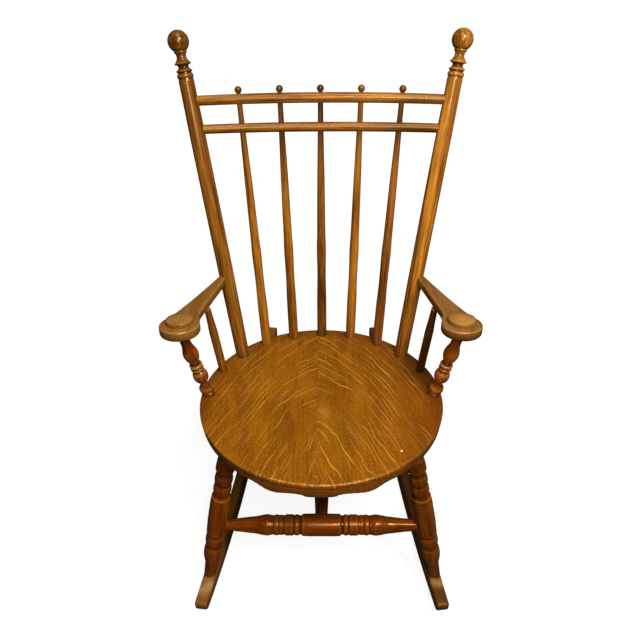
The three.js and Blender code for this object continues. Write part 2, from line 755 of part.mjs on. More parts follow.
for (const [hand, side] of sides) {
  keep(`rocker_${hand}`, rockerOak, rockerBody(side), rockerFrameOf(side));
  const legs = [
    ['front_leg', frontLegBearingDegrees, frontLegInset, -frontFoot,
      frontLegCutShares, legRadius, stoutSides],
    ['rear_leg', rearLegBearingDegrees, rearLegInset, rearFoot,
      rearLegCutShares, rearLegRadius, turnedSides],
  ];
  for (const [name, bearing, inset, back, cuts, radius, count] of legs) {
    const axis = axisBetween(rockerTopPoint(side, back), seatPoint(side * bearing, inset, frameBottom));
    const normal = rockerTopNormal(side, back);
    const footBlock = blockBelow(
      axis.foot.clone().addScaledVector(normal, fit), normal, rockerHeight);
    const points = cutPoints(cuts, axis.length, radius);
    points[0].y = -radius;
    points[points.length - 1].y += radius;
    const footTenon = (grow) => rod(
      axis, -legFootTenonLength, legFootTenonRadius, legFootTenonRadius, tenonSides, grow);
    const topTenon = (grow) => rod(axis, axis.length - legTenonRadius,
      axis.length + legTenonLength, legTenonRadius, tenonSides, grow);
    const body = turned(axis, points, count).subtract(footBlock).subtract(frameUnderside)
      .add(footTenon(0)).add(topTenon(0));
    keep(`${name}_${hand}`, legOak, body, axis.frame);
    bore(`rocker_${hand}`, footTenon(fit));
    for (const carrier of frameNames) bore(carrier, topTenon(fit));
    legAxes[`${name}_${hand}`] = { axis, cuts, radius, count };
  }
}

// Stretchers

function levelPoint({ axis }, height) {
  return pointOn(axis, (height - axis.foot.z) / axis.direction.z);
}

function legSolid({ axis, cuts, radius, count }, grow) {
  return turned(axis, cutPoints(cuts, axis.length, radius), count, grow);
}

function stretcherBetween(name, carriers, ends, points, sideCount, tenonInset) {
  const axis = axisBetween(ends[0], ends[1]);
  let body = turned(axis, points(axis.length), sideCount);
  for (const carrier of carriers) body = body.subtract(carrier.grown);
  carriers.forEach((carrier, index) => {
    const near = tenonInset[index] - stretcherTenonLength;
    const far = tenonInset[index] + stretcherTenonRadius;
    const span = index === 0 ? [near, far] : [axis.length - far, axis.length - near];
    const tenon = (grow) => rod(axis, span[0], span[1], stretcherTenonRadius, tenonSides, grow);
    body = body.add(tenon(0));
    bore(carrier.name, tenon(fit));
  });
  keep(name, legOak, body, axis.frame);
  return axis;
}

function frontStretcherPoints(length) {
  const half = cutPoints(stretcherHalfCutShares, length / 2, stretcherRadius);
  const mirrored = half.slice(0, -1).reverse().map((point) => new THREE.Vector2(point.x, length - point.y));
  return [...half, ...mirrored];
}

function carrierLeg(name) {
  return { name, grown: legSolid(legAxes[name], fit) };
}

const frontLegs = ['front_leg_left', 'front_leg_right'];
const rearLegs = ['rear_leg_left', 'rear_leg_right'];
const frontEnds = frontLegs.map((name) => levelPoint(legAxes[name], stretcherHeight));
const rearEnds = rearLegs.map((name) => levelPoint(legAxes[name], stretcherHeight));
const frontAxis = stretcherBetween('front_stretcher', frontLegs.map(carrierLeg), frontEnds,
  frontStretcherPoints, stoutSides, [legRadius, legRadius]);
const plainPoints = (radius) => (length) => cutPoints(plainStretcherCutShares, length, radius);
const rearAxis = stretcherBetween('rear_stretcher', rearLegs.map(carrierLeg), rearEnds,
  plainPoints(rearStretcherRadius), turnedSides, [rearLegRadius, rearLegRadius]);

const middleEnds = [frontEnds, rearEnds].map(([a, b]) => a.clone().lerp(b, 0.5));
const middleCarriers = [
  { name: 'front_stretcher',
    grown: turned(frontAxis, frontStretcherPoints(frontAxis.length), stoutSides, fit) },
  { name: 'rear_stretcher',
    grown: turned(rearAxis, plainPoints(rearStretcherRadius)(rearAxis.length), turnedSides, fit) },
];
stretcherBetween('middle_stretcher', middleCarriers, middleEnds, plainPoints(middleStretcherRadius),
  turnedSides, [stretcherRadius, rearStretcherRadius]);

// The chair stands with the middle of its length over the origin
const chair = new THREE.Group();
chair.name = 'spindle_back_rocker';
chair.position.y = (frontTip - rearTip) / 2;
for (const piece of pieces) chair.add(meshOf(piece));
chair.updateMatrixWorld(true);

export default chair;
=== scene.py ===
"""The looks of a spindle-back arm rocker in golden oak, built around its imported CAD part."""

import itertools
import math

import bmesh
import bpy
import numpy as np
from mathutils import Matrix, Vector


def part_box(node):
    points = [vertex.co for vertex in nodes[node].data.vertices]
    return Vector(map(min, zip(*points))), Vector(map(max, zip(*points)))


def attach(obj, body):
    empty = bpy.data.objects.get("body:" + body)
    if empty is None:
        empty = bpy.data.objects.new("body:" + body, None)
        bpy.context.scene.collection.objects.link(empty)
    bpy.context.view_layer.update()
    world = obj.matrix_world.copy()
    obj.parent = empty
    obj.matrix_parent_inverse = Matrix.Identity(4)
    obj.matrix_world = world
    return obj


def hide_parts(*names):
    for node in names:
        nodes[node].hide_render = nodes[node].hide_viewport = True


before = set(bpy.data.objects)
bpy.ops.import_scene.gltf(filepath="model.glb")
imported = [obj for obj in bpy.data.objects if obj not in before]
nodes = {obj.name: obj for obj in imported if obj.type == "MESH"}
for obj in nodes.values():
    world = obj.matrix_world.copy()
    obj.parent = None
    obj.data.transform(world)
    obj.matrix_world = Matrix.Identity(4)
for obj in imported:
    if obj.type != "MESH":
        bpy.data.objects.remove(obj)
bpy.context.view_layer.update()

# Lengths are in millimetres until a mesh is made. Left and right are as seen from in front.
MM = 0.001
HANDS = (("left", -1), ("right", 1))
TINY = 1e-6

# Panel of the seat
SEAT_TILT = math.radians(6)
SEAT_RADIUS = 245
SEAT_THICKNESS = 9
SEAT_ROUNDING = 2.4
SEAT_ROUNDING_STEPS = 5
SEAT_SIDES = 192
SEAT_RING = 4
SEAT_UNDER_SHARES = (0, 0.5, 0.8)
# How dark the underside of the panel is made, and how far up its edge that reaches
SEAT_UNDER_DARK = 0.9
SEAT_UNDER_DARK_RISE = 1.5
SEAM_PLACE = -8

# Run of the flecks: shallow at the seam, steep past a bend that is nearer in front
FLOW_STEP = 1.5
BEND_BACK = (-200, -100, 0, 150, 245)
BEND_OUT = (40, 50, 105, 190, 260)
LEAN_BACK = (-100, 20, 150)
SEAM_DEGREES = (31, 32, 43)
OUTER_DEGREES = 66

# Where the flecks of both halves stand nearly upright, beside the seam in front
APEX_LEAN = math.radians(86)
APEX_BACK = -90
APEX_RUN = 45
APEX_REACH = 35

# Frame under the seat
FRAME_OUTER = 243
FRAME_INNER = 193
FRAME_TOP = 9.3
FRAME_BOTTOM = 24.3
FRAME_ROUNDING = 1.6
FRAME_ROUNDING_STEPS = 2
FRAME_STEP = math.radians(0.5)
FRAME_GAP = 0.3
FRAME_TOP_SOIL = 0.7
FRAME_TOP_SOIL_DROP = 1
FRONT_DEGREES = 84
REAR_DEGREES = 50

# Corners of the frame's section: radius, way out of the section, whether it is a lower one
FRAME_CORNERS = (
    (FRAME_INNER, -1, True), (FRAME_OUTER, 1, True),
    (FRAME_OUTER, 1, False), (FRAME_INNER, -1, False),
)

# Lower edge of the front of the frame: distance from the middle, depth below the plain edge
SCALLOP = (
    (0, 6.6), (22, 6.9), (26, 6.2), (32, 3.4), (38, 2.5), (45, 2.4), (56, 3.6),
    (69, 6.3), (78, 8.5), (88, 9), (97, 7.7), (106, 4.4), (114, 1.4), (121, 0.2), (125, 0),
)

# Reach of the CAD tenons beyond the visible ends of the turned pieces
SEAT_TENON = 21
FOOT_TENON = 20
LEG_TENON = 12
ARM_TENON = 11

# How far a turned piece runs on, unseen, inside the one that holds it
HIDDEN_REACH = 5

# Search for the axis of a CAD piece: depths of the end that count, and rounds
END_DEPTHS = (8, 2, 0.4)
AXIS_ROUNDS = 4

# Back posts and their finials. The leans are slopes from which the search for an axis starts.
BACK_LEAN = 0.25
POST_LEAN = 0.08
POST_SIDES = 48
FINIAL_RADIUS = 20
FINIAL_DROP = 0.3
FINIAL_NECK_SHARE = 0.56
FINIAL_STEPS = 28
FINIAL_PLAIN = 8
FINIAL_GAP = 1

# Back spindles and their ball ends
SPINDLE_COUNT = 5
SPINDLE_LEAN = 0.03
SPINDLE_SIDES = 32
BALL_RADIUS = 7
BALL_RISE = 17
BALL_NECK_SHARE = 0.6
BALL_NECK_RADIUS = 4.1
BALL_NECK_DROP = 1.5
BALL_STEPS = 16
BALL_PLAIN = 5

# Uprights under the arms, and legs
ARM_UPRIGHT_LEAN = 0.1
LEG_LEAN = -0.1

# Darker upper stretches of turned pieces: run below the top, and how dark. On the legs this is
# painted shade under the seat.
POST_DARK = {"left": (100, 0.4), "right": (100, 0.1)}
SPINDLE_DARK = (145, 0.85)
LEG_DARK = {"left": (110, 0.8), "right": (110, 0.45)}

# Rails
RAIL_RADII = {"upper_rail": 10, "lower_rail": 9.4}
RAIL_SIDES = 32
RAIL_STEPS = 90

# Arms
ARM_TILT = math.radians(11)
ARM_PLACE = Vector((253, -177.5, 616))
ARM_THICKNESS = 20
ARM_ROUNDING = 3.5
ARM_UNDER_ROUNDING = 6.5
# Upper rim of an arm: where on its rounding, and how much of the paler tone, partly wear and partly a
# painted highlight
ARM_RIM_SHARES = (0.1, 0.9)
ARM_RIM_WEAR_AND_HIGHLIGHT = 0.3
# Painted shade towards an arm's underside: depth where it starts, and its reach for each hand
ARM_SHADE_DEPTH = 2
ARM_SHADE_REACH = {"left": 22, "right": 9}
ARM_END_WIDTH = 15
ARM_END_OUTSET = 7
PADDLE_RADIUS = 36.5
PADDLE_STEPS = 72
OUTER_TURN = math.radians(18)
OUTER_PULL = 0.8
OUTER_STEPS = 40
JOIN_ANGLE = math.radians(168)
JOIN_PULL = 0.5
WAIST = Vector((-28.5, 58))
WAIST_PULL = -0.12
INNER_STEPS = 24

# Caps on the paddles. Each has a dark joint at its foot, and painted shade on its side band below the
# dome, centred 3 mm up.
CAP_BACK = 4
CAP_SIDES = 64
CAP_JOINT_AND_SHADE_HEIGHTS = (0, 3)
CAP_PLAIN = 1.5
CAP_WORN = 6.6

# Rockers
SWEEP_RADIUS = 1174
ROCKER_PITCH = 42
ROCKER_THICKNESS = 26
ROCKER_ROUNDING = 4.5
ROCKER_STEPS = 160
TOE_LOW = 9
TOE_HIGH = 8
TOE_STEPS = 6
TOE_MARGIN = 2
ROCKER_TURN = math.radians(6.5)
ROCKER_REST = -78.5
ROCKER_FRONT = -415.7
ROCKER_REAR = 415.7
TIP_INSET = 1.4
FRONT_FOOT = -340.5
REAR_FOOT = 82.5
ROCKER_HEIGHT = 37.5
FRONT_TIP_HEIGHT = 24
REAR_TIP_HEIGHT = 31
ROCKER_FRONT_PLACE = 247.5
# Painted shade on a rocker's inner face under the seat: how dark, where it starts behind the front
# leg, and its run
ROCKER_SHADE = 0.75
ROCKER_SHADE_START = 20
ROCKER_SHADE_RUN = 140

# Worn patches on the rockers: distance before the front leg, reach
STEP_WEAR = {"left": (34, 17), "right": (22, 9)}

# Turned profiles from the foot up: form, share of the length, diameter reached. A bead, ring
# or groove goes there and comes back.
POST_CUTS = (
    ("foot", 0, 28.9), ("ease", 0.17, 30.2), ("ease", 0.13, 31.3), ("line", 0.1, 31.3),
    ("ease", 0.14, 31.6), ("ease", 0.16, 31.2), ("ease", 0.2, 29.3),
)

# Finial from below: distance below the middle of the ball and radius, both in radii of the ball
FINIAL_CUTS = (
    (3.3, 0.7), (3.24, 0.69), (3.2, 0.74), (3.13, 0.775), (3.03, 0.785), (2.93, 0.77),
    (2.85, 0.72), (2.8, 0.65), (2.72, 0.64), (2.67, 0.71), (2.62, 0.765), (2.56, 0.77),
    (2.5, 0.71), (2.44, 0.61), (2.36, 0.53), (2.26, 0.49), (2.15, 0.5), (2.07, 0.56),
    (2.03, 0.68), (1.99, 0.77), (1.93, 0.79), (1.86, 0.74), (1.77, 0.65), (1.64, 0.55),
    (1.5, 0.485), (1.36, 0.45), (1.24, 0.45), (1.13, 0.48), (1.04, 0.53), (0.99, 0.59),
    (0.94, 0.62), (0.88, 0.61), (0.84, 0.56),
)

# More turned profiles from the foot up, as above
SPINDLE_CUTS = (
    ("foot", 0, 21.4), ("line", 0.05, 21.4), ("ease", 0.11, 21.2), ("ease", 0.135, 18.7),
    ("ease", 0.115, 20.1), ("ease", 0.07, 18.1), ("line", 0.115, 16.8), ("line", 0.12, 15.2),
    ("line", 0.11, 12.8), ("line", 0.05, 11.9), ("line", 0.055, 11), ("line", 0.07, 10.5),
)
ARM_POST_CUTS = (
    ("foot", 0, 25), ("line", 0.072, 25.4), ("groove", 0.012, 22.5), ("bead", 0.066, 28.4),
    ("swell", 0.05, 15.3), ("line", 0.056, 15.3), ("bead", 0.16, 30), ("line", 0.02, 16),
    ("bead", 0.044, 25.4), ("groove", 0.006, 16), ("bead", 0.044, 25.4),
    ("swell", 0.012, 14.4), ("swell", 0.141, 29.6), ("ease", 0.15, 19.4), ("line", 0.167, 18.6),
)
ARM_SPINDLE_CUTS = (
    ("foot", 0, 17.9), ("ease", 0.26, 17.2), ("line", 0.4, 17.1), ("ease", 0.2, 14.3),
    ("line", 0.14, 12.6),
)
FRONT_LEG_CUTS = (
    ("foot", 0, 24.4), ("line", 0.128, 27.2), ("swell", 0.012, 31.9), ("line", 0.016, 32),
    ("bead", 0.11, 38.5), ("line", 0.018, 32.5), ("bead", 0.08, 38.4), ("line", 0.012, 34),
    ("swell", 0.014, 38.8), ("ease", 0.114, 40.4), ("ease", 0.113, 39.8), ("groove", 0.008, 38),
    ("ease", 0.055, 37.6), ("swell", 0.02, 30), ("line", 0.01, 29.8), ("bead", 0.07, 35.2),
    ("line", 0.008, 29.4), ("bead", 0.065, 35.2), ("line", 0.012, 28.2), ("swell", 0.035, 36.7),
    ("ease", 0.075, 33.4), ("swell", 0.025, 25),
)
REAR_LEG_CUTS = (
    ("foot", 0, 24.5), ("line", 0.16, 27.9), ("swell", 0.24, 34), ("line", 0.2, 34),
    ("ease", 0.21, 27.4), ("line", 0.01, 27), ("bead", 0.05, 31), ("ease", 0.13, 24.5),
)

# Stretchers. The front one's profile runs to its middle, and is mirrored there.
FRONT_STRETCHER_CUTS = (
    ("foot", 0, 18.6), ("line", 0.228, 26.8), ("line", 0.105, 32), ("ease", 0.16, 41),
    ("swell", 0.045, 37.6), ("swell", 0.008, 36.4), ("swell", 0.012, 39.6), ("line", 0.03, 40),
    ("swell", 0.014, 37.4), ("bead", 0.03, 39), ("line", 0.02, 37.4), ("swell", 0.01, 40.8),
    ("line", 0.07, 41), ("swell", 0.008, 36.5), ("bead", 0.052, 40.6), ("line", 0.008, 36.4),
    ("swell", 0.01, 37.6), ("swell", 0.02, 43), ("ease", 0.06, 43.6), ("line", 0.06, 43.6),
)
REAR_STRETCHER_CUTS = (
    ("foot", 0, 18.4), ("ease", 0.22, 23), ("ease", 0.2, 27.4), ("ease", 0.16, 28),
    ("ease", 0.2, 27.4), ("ease", 0.22, 18.4),
)
MIDDLE_STRETCHER_CUTS = (
    ("foot", 0, 23.8), ("ease", 0.22, 29.6), ("ease", 0.2, 35.2), ("ease", 0.16, 36),
    ("ease", 0.2, 35.2), ("ease", 0.22, 23.8),
)

# Pieces that are held at both ends: profile, sides
ARM_UPRIGHTS = {"arm_post": (ARM_POST_CUTS, 40), "arm_spindle": (ARM_SPINDLE_CUTS, 32)}
LEGS = {"front_leg": (FRONT_LEG_CUTS, 48), "rear_leg": (REAR_LEG_CUTS, 40)}

# Stretchers: direction, profile, how far in from the CAD ends it starts and ends, sides, mirrored
STRETCHERS = {
    "front_stretcher": ((1, 0, 0), FRONT_STRETCHER_CUTS, (-2, -2), 56, True),
    "rear_stretcher": ((1, 0, 0), REAR_STRETCHER_CUTS, (1, 1), 40, False),
    "middle_stretcher": ((0, 1, 0), MIDDLE_STRETCHER_CUTS, (-3.2, 4), 40, False),
}

# Rails: place along, share of the radius. Caps: height, radius.
RAIL_SHARES = ((0, 0.94), (0.25, 0.98), (0.5, 1), (0.75, 0.98), (1, 0.94))
CAP_POINTS = (
    (0, 24.2), (0.7, 24.8), (1.4, 25), (6, 25), (6.9, 24.8), (7.5, 24.2), (8.1, 23.1), (8.9, 21.2),
    (9.8, 18.4), (10.6, 15.2), (11.4, 11.4), (12, 7.4), (12.3, 4.4), (12.45, 2), (12.5, 0),
)

# Colour multipliers of pieces that are paler, darker or redder than their neighbours: mostly the
# wood's own tone, with painted light and shade on the pieces marked below
PLAIN_TINT = (1.0, 1.0, 1.0)
TONE_LIGHT_AND_SHADE_TINTS = {
    # The back posts differ, the left darker and the right paler: partly their wood, partly painted
    # light and shade
    "back_post_left": (0.72, 0.7, 0.93), "back_post_right": (1.3, 1.38, 1.8),
    "upper_rail": (0.87, 0.91, 1.07), "lower_rail": (0.65, 0.64, 0.72),
    "back_spindle_3": (0.66, 0.65, 0.92), "back_spindle_5": (0.74, 0.7, 1.1),
    "arm_post_left": (0.93, 0.6, 0.42), "arm_post_right": (0.84, 0.53, 0.47),
    # Painted shadow of the right arm on its spindle
    "arm_spindle_right": (0.2, 0.17, 0.2),
    # The right cap is paler, partly painted light
    "arm_left": (1.08, 1.06, 1.1), "arm_right": (1, 0.96, 1.25), "arm_cap_right": (1.25, 1.35, 1.5),
    "front_leg_left": (1.15, 1.05, 0.9), "front_leg_right": (0.85, 0.86, 0.95),
    "front_stretcher": (0.78, 0.66, 0.46), "frame_front": (1.3, 1.1, 0.8),
    "rocker_left": (1, 0.95, 0.8), "rocker_right": (0.42, 0.34, 0.3),
    # Painted shade under the seat on the middle stretcher
    "middle_stretcher": (0.45, 0.45, 0.45),
}

# How a cut runs from one diameter to the next, and how a raised or sunk cut comes and goes
RUNS = {
    "line": lambda t: t,
    "ease": lambda t: t * t * (3 - 2 * t),
    "swell": lambda t: math.sin(t * math.pi / 2),
}
BUMPS = {
    "bead": lambda t: math.sqrt(max(0, 1 - (2 * t - 1) ** 2)),
    "groove": lambda t: 1 - abs(2 * t - 1),
}
FINE_STEPS = 12
ROW_LENGTH = 4
SHARP_ANGLE = math.radians(38)
RIM_SEGMENTS = 5

# Grime and painted shade in the hollows of a profile, a dark line at each joint with painted shade
# spreading beside it, and rubbing on its crests
RELIEF_REACH = 5
RELIEF_SAMPLES = 11
RELIEF_DEPTH = 1.3
JOINT_SOIL = 0.7
JOINT_SOIL_REACH = 4
JOINT_SHADE = 0.32
JOINT_SHADE_REACH = 45
DARK_RUN = 60
WORN_RUN = 2

# Patterns in the wood, in noise cells to the millimetre: twice across the fibres, then along
BAND_WAVES = (0.04, 0.04, 0.0035)
STREAK_WAVES = (0.3, 0.3, 0.011)
FIBRE_WAVES = (0.9, 0.9, 0.03)
PATCH_WAVES = (0.03, 0.03, 0.02)

# The same on the seat: from left to right, from front to back, and through the panel
SEAT_BAND_WAVES = (0.02, 0.006, 0.02)
SEAT_ROW_WAVES = (0.22, 0.012, 0.2)
SEAT_PORE_WAVES = (1.3, 0.06, 1)
SEAT_PATCH_WAVES = (0.05, 0.05, 0.05)
SPECKLE_WAVES = (0.45, 0.2, 0.5)
CHIPPING_WAVES = (0.08, 0.08, 0.08)
SWAY_WAVES = (0.012, 0.02, 0.31)

# Flecks of the seat: lane, width, waves along, share left out, place in the noise
BROAD_FLECKS = (17, 3, 0.0065, 0.48, 11)
FINE_FLECKS = (8, 1.8, 0.008, 0.52, 57)

# Seat: reddish painted shade on the right, grime and painted shade at the rim, and the rubbed front
# edge that is partly a painted highlight: where each starts and where it is full
REDDISH_SHADE_OUT = (40, 230)
RIM_DIRT_AND_SHADE_OUT = (200, 243)
RIM_DIRT_AND_SHADE_BACK = (-150, -10)
EDGE_WEAR_AND_HIGHLIGHT_TOP = (240.2, 241.6)
EDGE_WEAR_AND_HIGHLIGHT_SIDE = (245, 243.4)
EDGE_WEAR_AND_HIGHLIGHT_FRONT = (-120, -190)
EDGE_WEAR_AND_HIGHLIGHT_MIDDLE = (130, 50)

# Marks on the seat: middle, reach
OLIVE_PATCH = ((48, -100, 0), (85, 95, 90))
BRUISE = ((5.9, -55, 0), (16, 34, 50))
CHIP = ((146.7, -161, 0), (3.4, 4, 9))

# Steps in the noise from one half, one lane and one piece of wood to the next
HALF_STEP = 83.0
LANE_STEP = 37.0
WOOD_STEP = Vector((137.3, -71.9, 211.7))

# Tints of the varnish's shine, coats, and the depths of the bumps in metres
GOLDEN = (1, 0.76, 0.45, 1)
AMBER = (1, 0.6, 0.25, 1)
OAK_COAT_ROUGHNESS = 0.28
OAK_BUMP = 0.00003
SEAT_COAT = 0.25
SEAT_COAT_ROUGHNESS = 0.25
SEAT_BUMP = 0.0001

# Floor, room and lamplight
FLOOR_HALF = 12000
FLOOR_DROP = 0.5
FLOOR_BOUNCE = (0.09, 0.075, 0.06, 1)
FLOOR_GREY = (0.3, 0.3, 0.3, 1)
FLOOR_GLOW = (1.02, 0.9)
FLOOR_GLOW_SPOT = ((0, 0.1, 0), (2.6, 2.6, 9))
WHITE = (1, 1, 1, 1)
WHITE_STRENGTH = 1.1
ROOM_COLOUR = (1, 0.88, 0.7, 1)
ROOM_STRENGTH = 0.06
LAMP_COLOUR = (1, 0.91, 0.77)

# Lamps, in metres and watts: name, place, aim, size, power
LAMPS = (
    ("key", (0.62, -1.15, 2.3), (0, 0, 0.5), (0.5, 0.5), 42),
    ("top", (0, -0.2, 2.8), (0, 0, 0.5), (0.8, 0.8), 12),
    ("lamp", (0.1, -1.12, 1.5), (0, 0.1, 0.75), (0.12, 0.35), 7),
)

# Camera: place in metres, turns in degrees
CAMERA_PLACE = (0.0119, -1.021, 1.2792)
CAMERA_TURNS = (("Z", 0.84), ("X", 52.15), ("Z", -0.62))
CAMERA_LENS = 33.75
CAMERA_SENSOR = 36


# Meshes


def mesh_of(name, points, faces, place):
    """A mesh in metres, from points in millimetres in a frame of their own."""
    mesh = bpy.data.meshes.new(name)
    mesh.from_pydata([place @ (point * MM) for point in points], [], faces)
    return mesh


def give(mesh, name, values):
    """Writes a named number or vector for every vertex."""
    kind, field = ("FLOAT_VECTOR", "vector") if hasattr(values[0], "__len__") else ("FLOAT", "value")
    layer = mesh.attributes.new(name, kind, "POINT")
    layer.data.foreach_set(field, np.array(values, np.float32).ravel())


piece_numbers = itertools.count(1)


def give_wood(mesh, node, fibres, soil_and_shade, wear_and_highlight):
    """Writes every vertex's place in the wood, its grime and painted shade, its rubbing and painted
    highlight, and the piece's tint.
    """
    shift = WOOD_STEP * next(piece_numbers)
    give(mesh, "grain", [place + shift for place in fibres])
    give(mesh, "soil_and_shade", soil_and_shade)
    give(mesh, "wear_and_highlight", wear_and_highlight)
    give(mesh, "tint", [TONE_LIGHT_AND_SHADE_TINTS.get(node, PLAIN_TINT)] * len(fibres))


def add_piece(mesh, node, material):
    """Puts a mesh into the scene in the place of its CAD piece."""
    mesh.validate()
    mesh.shade_smooth()
    mesh.set_sharp_from_angle(angle=SHARP_ANGLE)
    mesh.materials.append(material)
    piece = bpy.data.objects.new(mesh.name, mesh)
    bpy.context.scene.collection.objects.link(piece)
    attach(piece, "root")
    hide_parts(node)


def quarter_turns(steps):
    """Even angles from 0 to a right angle."""
    return [math.pi / 2 * step / steps for step in range(steps + 1)]


def full_turns(count):
    """Even angles around a circle."""
    return [2 * math.pi * index / count for index in range(count)]


def lathe_mesh(name, rows, sides, place):
    """A closed turned solid. Each row is a height along Z and a radius there."""
    points = []
    rings = []
    for height, radius in rows:
        if radius < TINY:
            rings.append([len(points)] * sides)
            points.append(Vector((0, 0, height)))
            continue
        rings.append(range(len(points), len(points) + sides))
        for angle in full_turns(sides):
            points.append(Vector((radius * math.cos(angle), radius * math.sin(angle), height)))
    faces = []
    for low, high in zip(rings, rings[1:]):
        for index in range(sides):
            after = (index + 1) % sides
            corners = [low[index], low[after], high[after], high[index]]
            faces.append(list(dict.fromkeys(corners)))
    return mesh_of(name, points, faces, place), points


def loft_mesh(name, sections, place):
    """A closed solid through sections that have the same number of points."""
    points = [point for section in sections for point in section]
    count = len(sections[0])
    faces = [list(range(count))[::-1]]
    for start in range(0, len(points) - count, count):
        for index in range(count):
            after = (index + 1) % count
            corners = (index, after, count + after, count + index)
            faces.append([start + corner for corner in corners])
    faces.append(list(range(len(points) - count, len(points))))
    return mesh_of(name, points, faces, place), points


def sawn_mesh(name, outline, thickness, roundings, place):
    """A board sawn to an outline, its upper and lower edges rounded, between Z 0 and -thickness."""
    form = bmesh.new()
    low = [form.verts.new((point.x, point.y, -thickness)) for point in outline]
    high = [form.verts.new((point.x, point.y, 0)) for point in outline]
    count = len(outline)
    form.faces.new(low[::-1])
    form.faces.new(high)
    for index in range(count):
        after = (index + 1) % count
        form.faces.new((low[index], low[after], high[after], high[index]))
    for level, rounding in zip((0, -thickness), roundings):
        form.normal_update()
        rims = [
            edge for edge in form.edges
            if all(abs(vert.co.z - level) < TINY for vert in edge.verts)
        ]
        bmesh.ops.bevel(
            form, geom=rims, offset=rounding, segments=RIM_SEGMENTS, profile=0.5, affect="EDGES")
    bmesh.ops.recalc_face_normals(form, faces=form.faces)
    points = [vert.co.copy() for vert in form.verts]
    form.verts.index_update()
    faces = [[vert.index for vert in face.verts] for face in form.faces]
    form.free()
    return mesh_of(name, points, faces, place), points


# Turned profiles


def turned_rows(cuts, length):
    """The heights and radii of a profile."""
    height = 0
    radius = cuts[0][2] / 2
    rows = [(0, radius)]
    for form, share, diameter in cuts[1:]:
        run = share * length
        reach = diameter / 2
        steps = max(2 if form == "line" else FINE_STEPS, math.ceil(run / ROW_LENGTH))
        for step in range(1, steps + 1):
            share_done = step / steps
            blend = (BUMPS.get(form) or RUNS[form])(share_done)
            rows.append((height + run * share_done, radius + (reach - radius) * blend))
        height += run
        if form not in BUMPS:
            radius = reach
    return rows


def ball_rows(height, radius, neck_share, steps):
    """A ball on a neck, from the neck up to the pole."""
    start = -math.acos(neck_share)
    angles = [start + (math.pi / 2 - start) * step / steps for step in range(steps + 1)]
    return [(height + radius * math.sin(a), max(0, radius * math.cos(a))) for a in angles]


def reach_in(rows, held_above):
    """Carries the ends of a profile on into the pieces that hold them."""
    (low, foot_radius), (high, top_radius) = rows[0], rows[-1]
    tail = [(high + HIDDEN_REACH, top_radius)] if held_above else []
    return [(low - HIDDEN_REACH, foot_radius), *rows, *tail]


def relief_of(rows, joints, plain_from, dark, worn_from):
    """For every row, the grime and painted shade in a hollow and beside a joint, the darkening of an
    upper stretch, and how rubbed a crest is.
    """
    heights = np.array([row[0] for row in rows])
    radii = np.array([row[1] for row in rows])
    order = np.maximum.accumulate(heights + np.arange(len(rows)) * TINY)
    around = np.linspace(-RELIEF_REACH, RELIEF_REACH, RELIEF_SAMPLES)
    mean = np.interp(order[:, None] + around[None, :], order, radii).mean(1)
    plain = heights > plain_from
    # Grime and painted shade in the hollows
    soil_and_shade = np.where(plain, 0, np.clip((mean - radii) / RELIEF_DEPTH, 0, 1))
    wear_and_highlight = np.where(plain, 0, np.clip((radii - mean) / RELIEF_DEPTH, 0, 1))
    for joint in joints:
        away = np.abs(heights - joint)
        soil_and_shade = np.maximum(soil_and_shade, JOINT_SOIL * np.exp(-((away / JOINT_SOIL_REACH) ** 2)))
        # Painted shade spreading from each joint
        soil_and_shade = np.maximum(soil_and_shade, JOINT_SHADE * np.exp(-away / JOINT_SHADE_REACH))
    dark_from, dark_share = dark
    # Darker upper stretch, painted shade under the seat on the legs
    soil_and_shade = np.maximum(soil_and_shade, dark_share * np.clip((heights - dark_from) / DARK_RUN, 0, 1))
    wear_and_highlight = np.maximum(wear_and_highlight, np.clip((heights - worn_from) / WORN_RUN, 0, 1))
    return soil_and_shade, wear_and_highlight


def spread_rows(values, rows, sides):
    """Repeats a row's value for each of its vertices."""
    spread = []
    for value, (_, radius) in zip(values, rows):
        spread.extend([float(value)] * (1 if radius < TINY else sides))
    return spread


# Places, read from the CAD pieces


def corners_of(node):
    """The corners of a CAD piece, each of them once."""
    vertices = nodes[node].data.vertices
    places = {tuple(round(value / MM, 4) for value in vertex.co) for vertex in vertices}
    return [Vector(place) for place in places]


def end_middle(corners, direction):
    """The middle of the flat end that lies farthest along a direction."""
    for depth in END_DEPTHS:
        reach = max(corner.dot(direction) for corner in corners)
        corners = [corner for corner in corners if corner.dot(direction) > reach - depth]
    return sum(corners, Vector()) / len(corners)


def axis_of(node, guess):
    """The two end middles of a straight turned CAD piece, from foot to top."""
    corners = corners_of(node)
    direction = Vector(guess).normalized()
    for _ in range(AXIS_ROUNDS):
        foot = end_middle(corners, -direction)
        top = end_middle(corners, direction)
        direction = (top - foot).normalized()
    return foot, top


def visible_axis(node, guess, foot_tenon, top_tenon):
    """The foot of a turned piece without its tenon, its CAD top, and the length that shows."""
    foot, top = axis_of(node, guess)
    foot = foot + (top - foot).normalized() * foot_tenon
    return foot, top, (top - foot).length - top_tenon


def dark_top(length, dark):
    """Where a darker upper stretch starts on a length, and how dark it gets."""
    run, share = dark
    return length - run, share


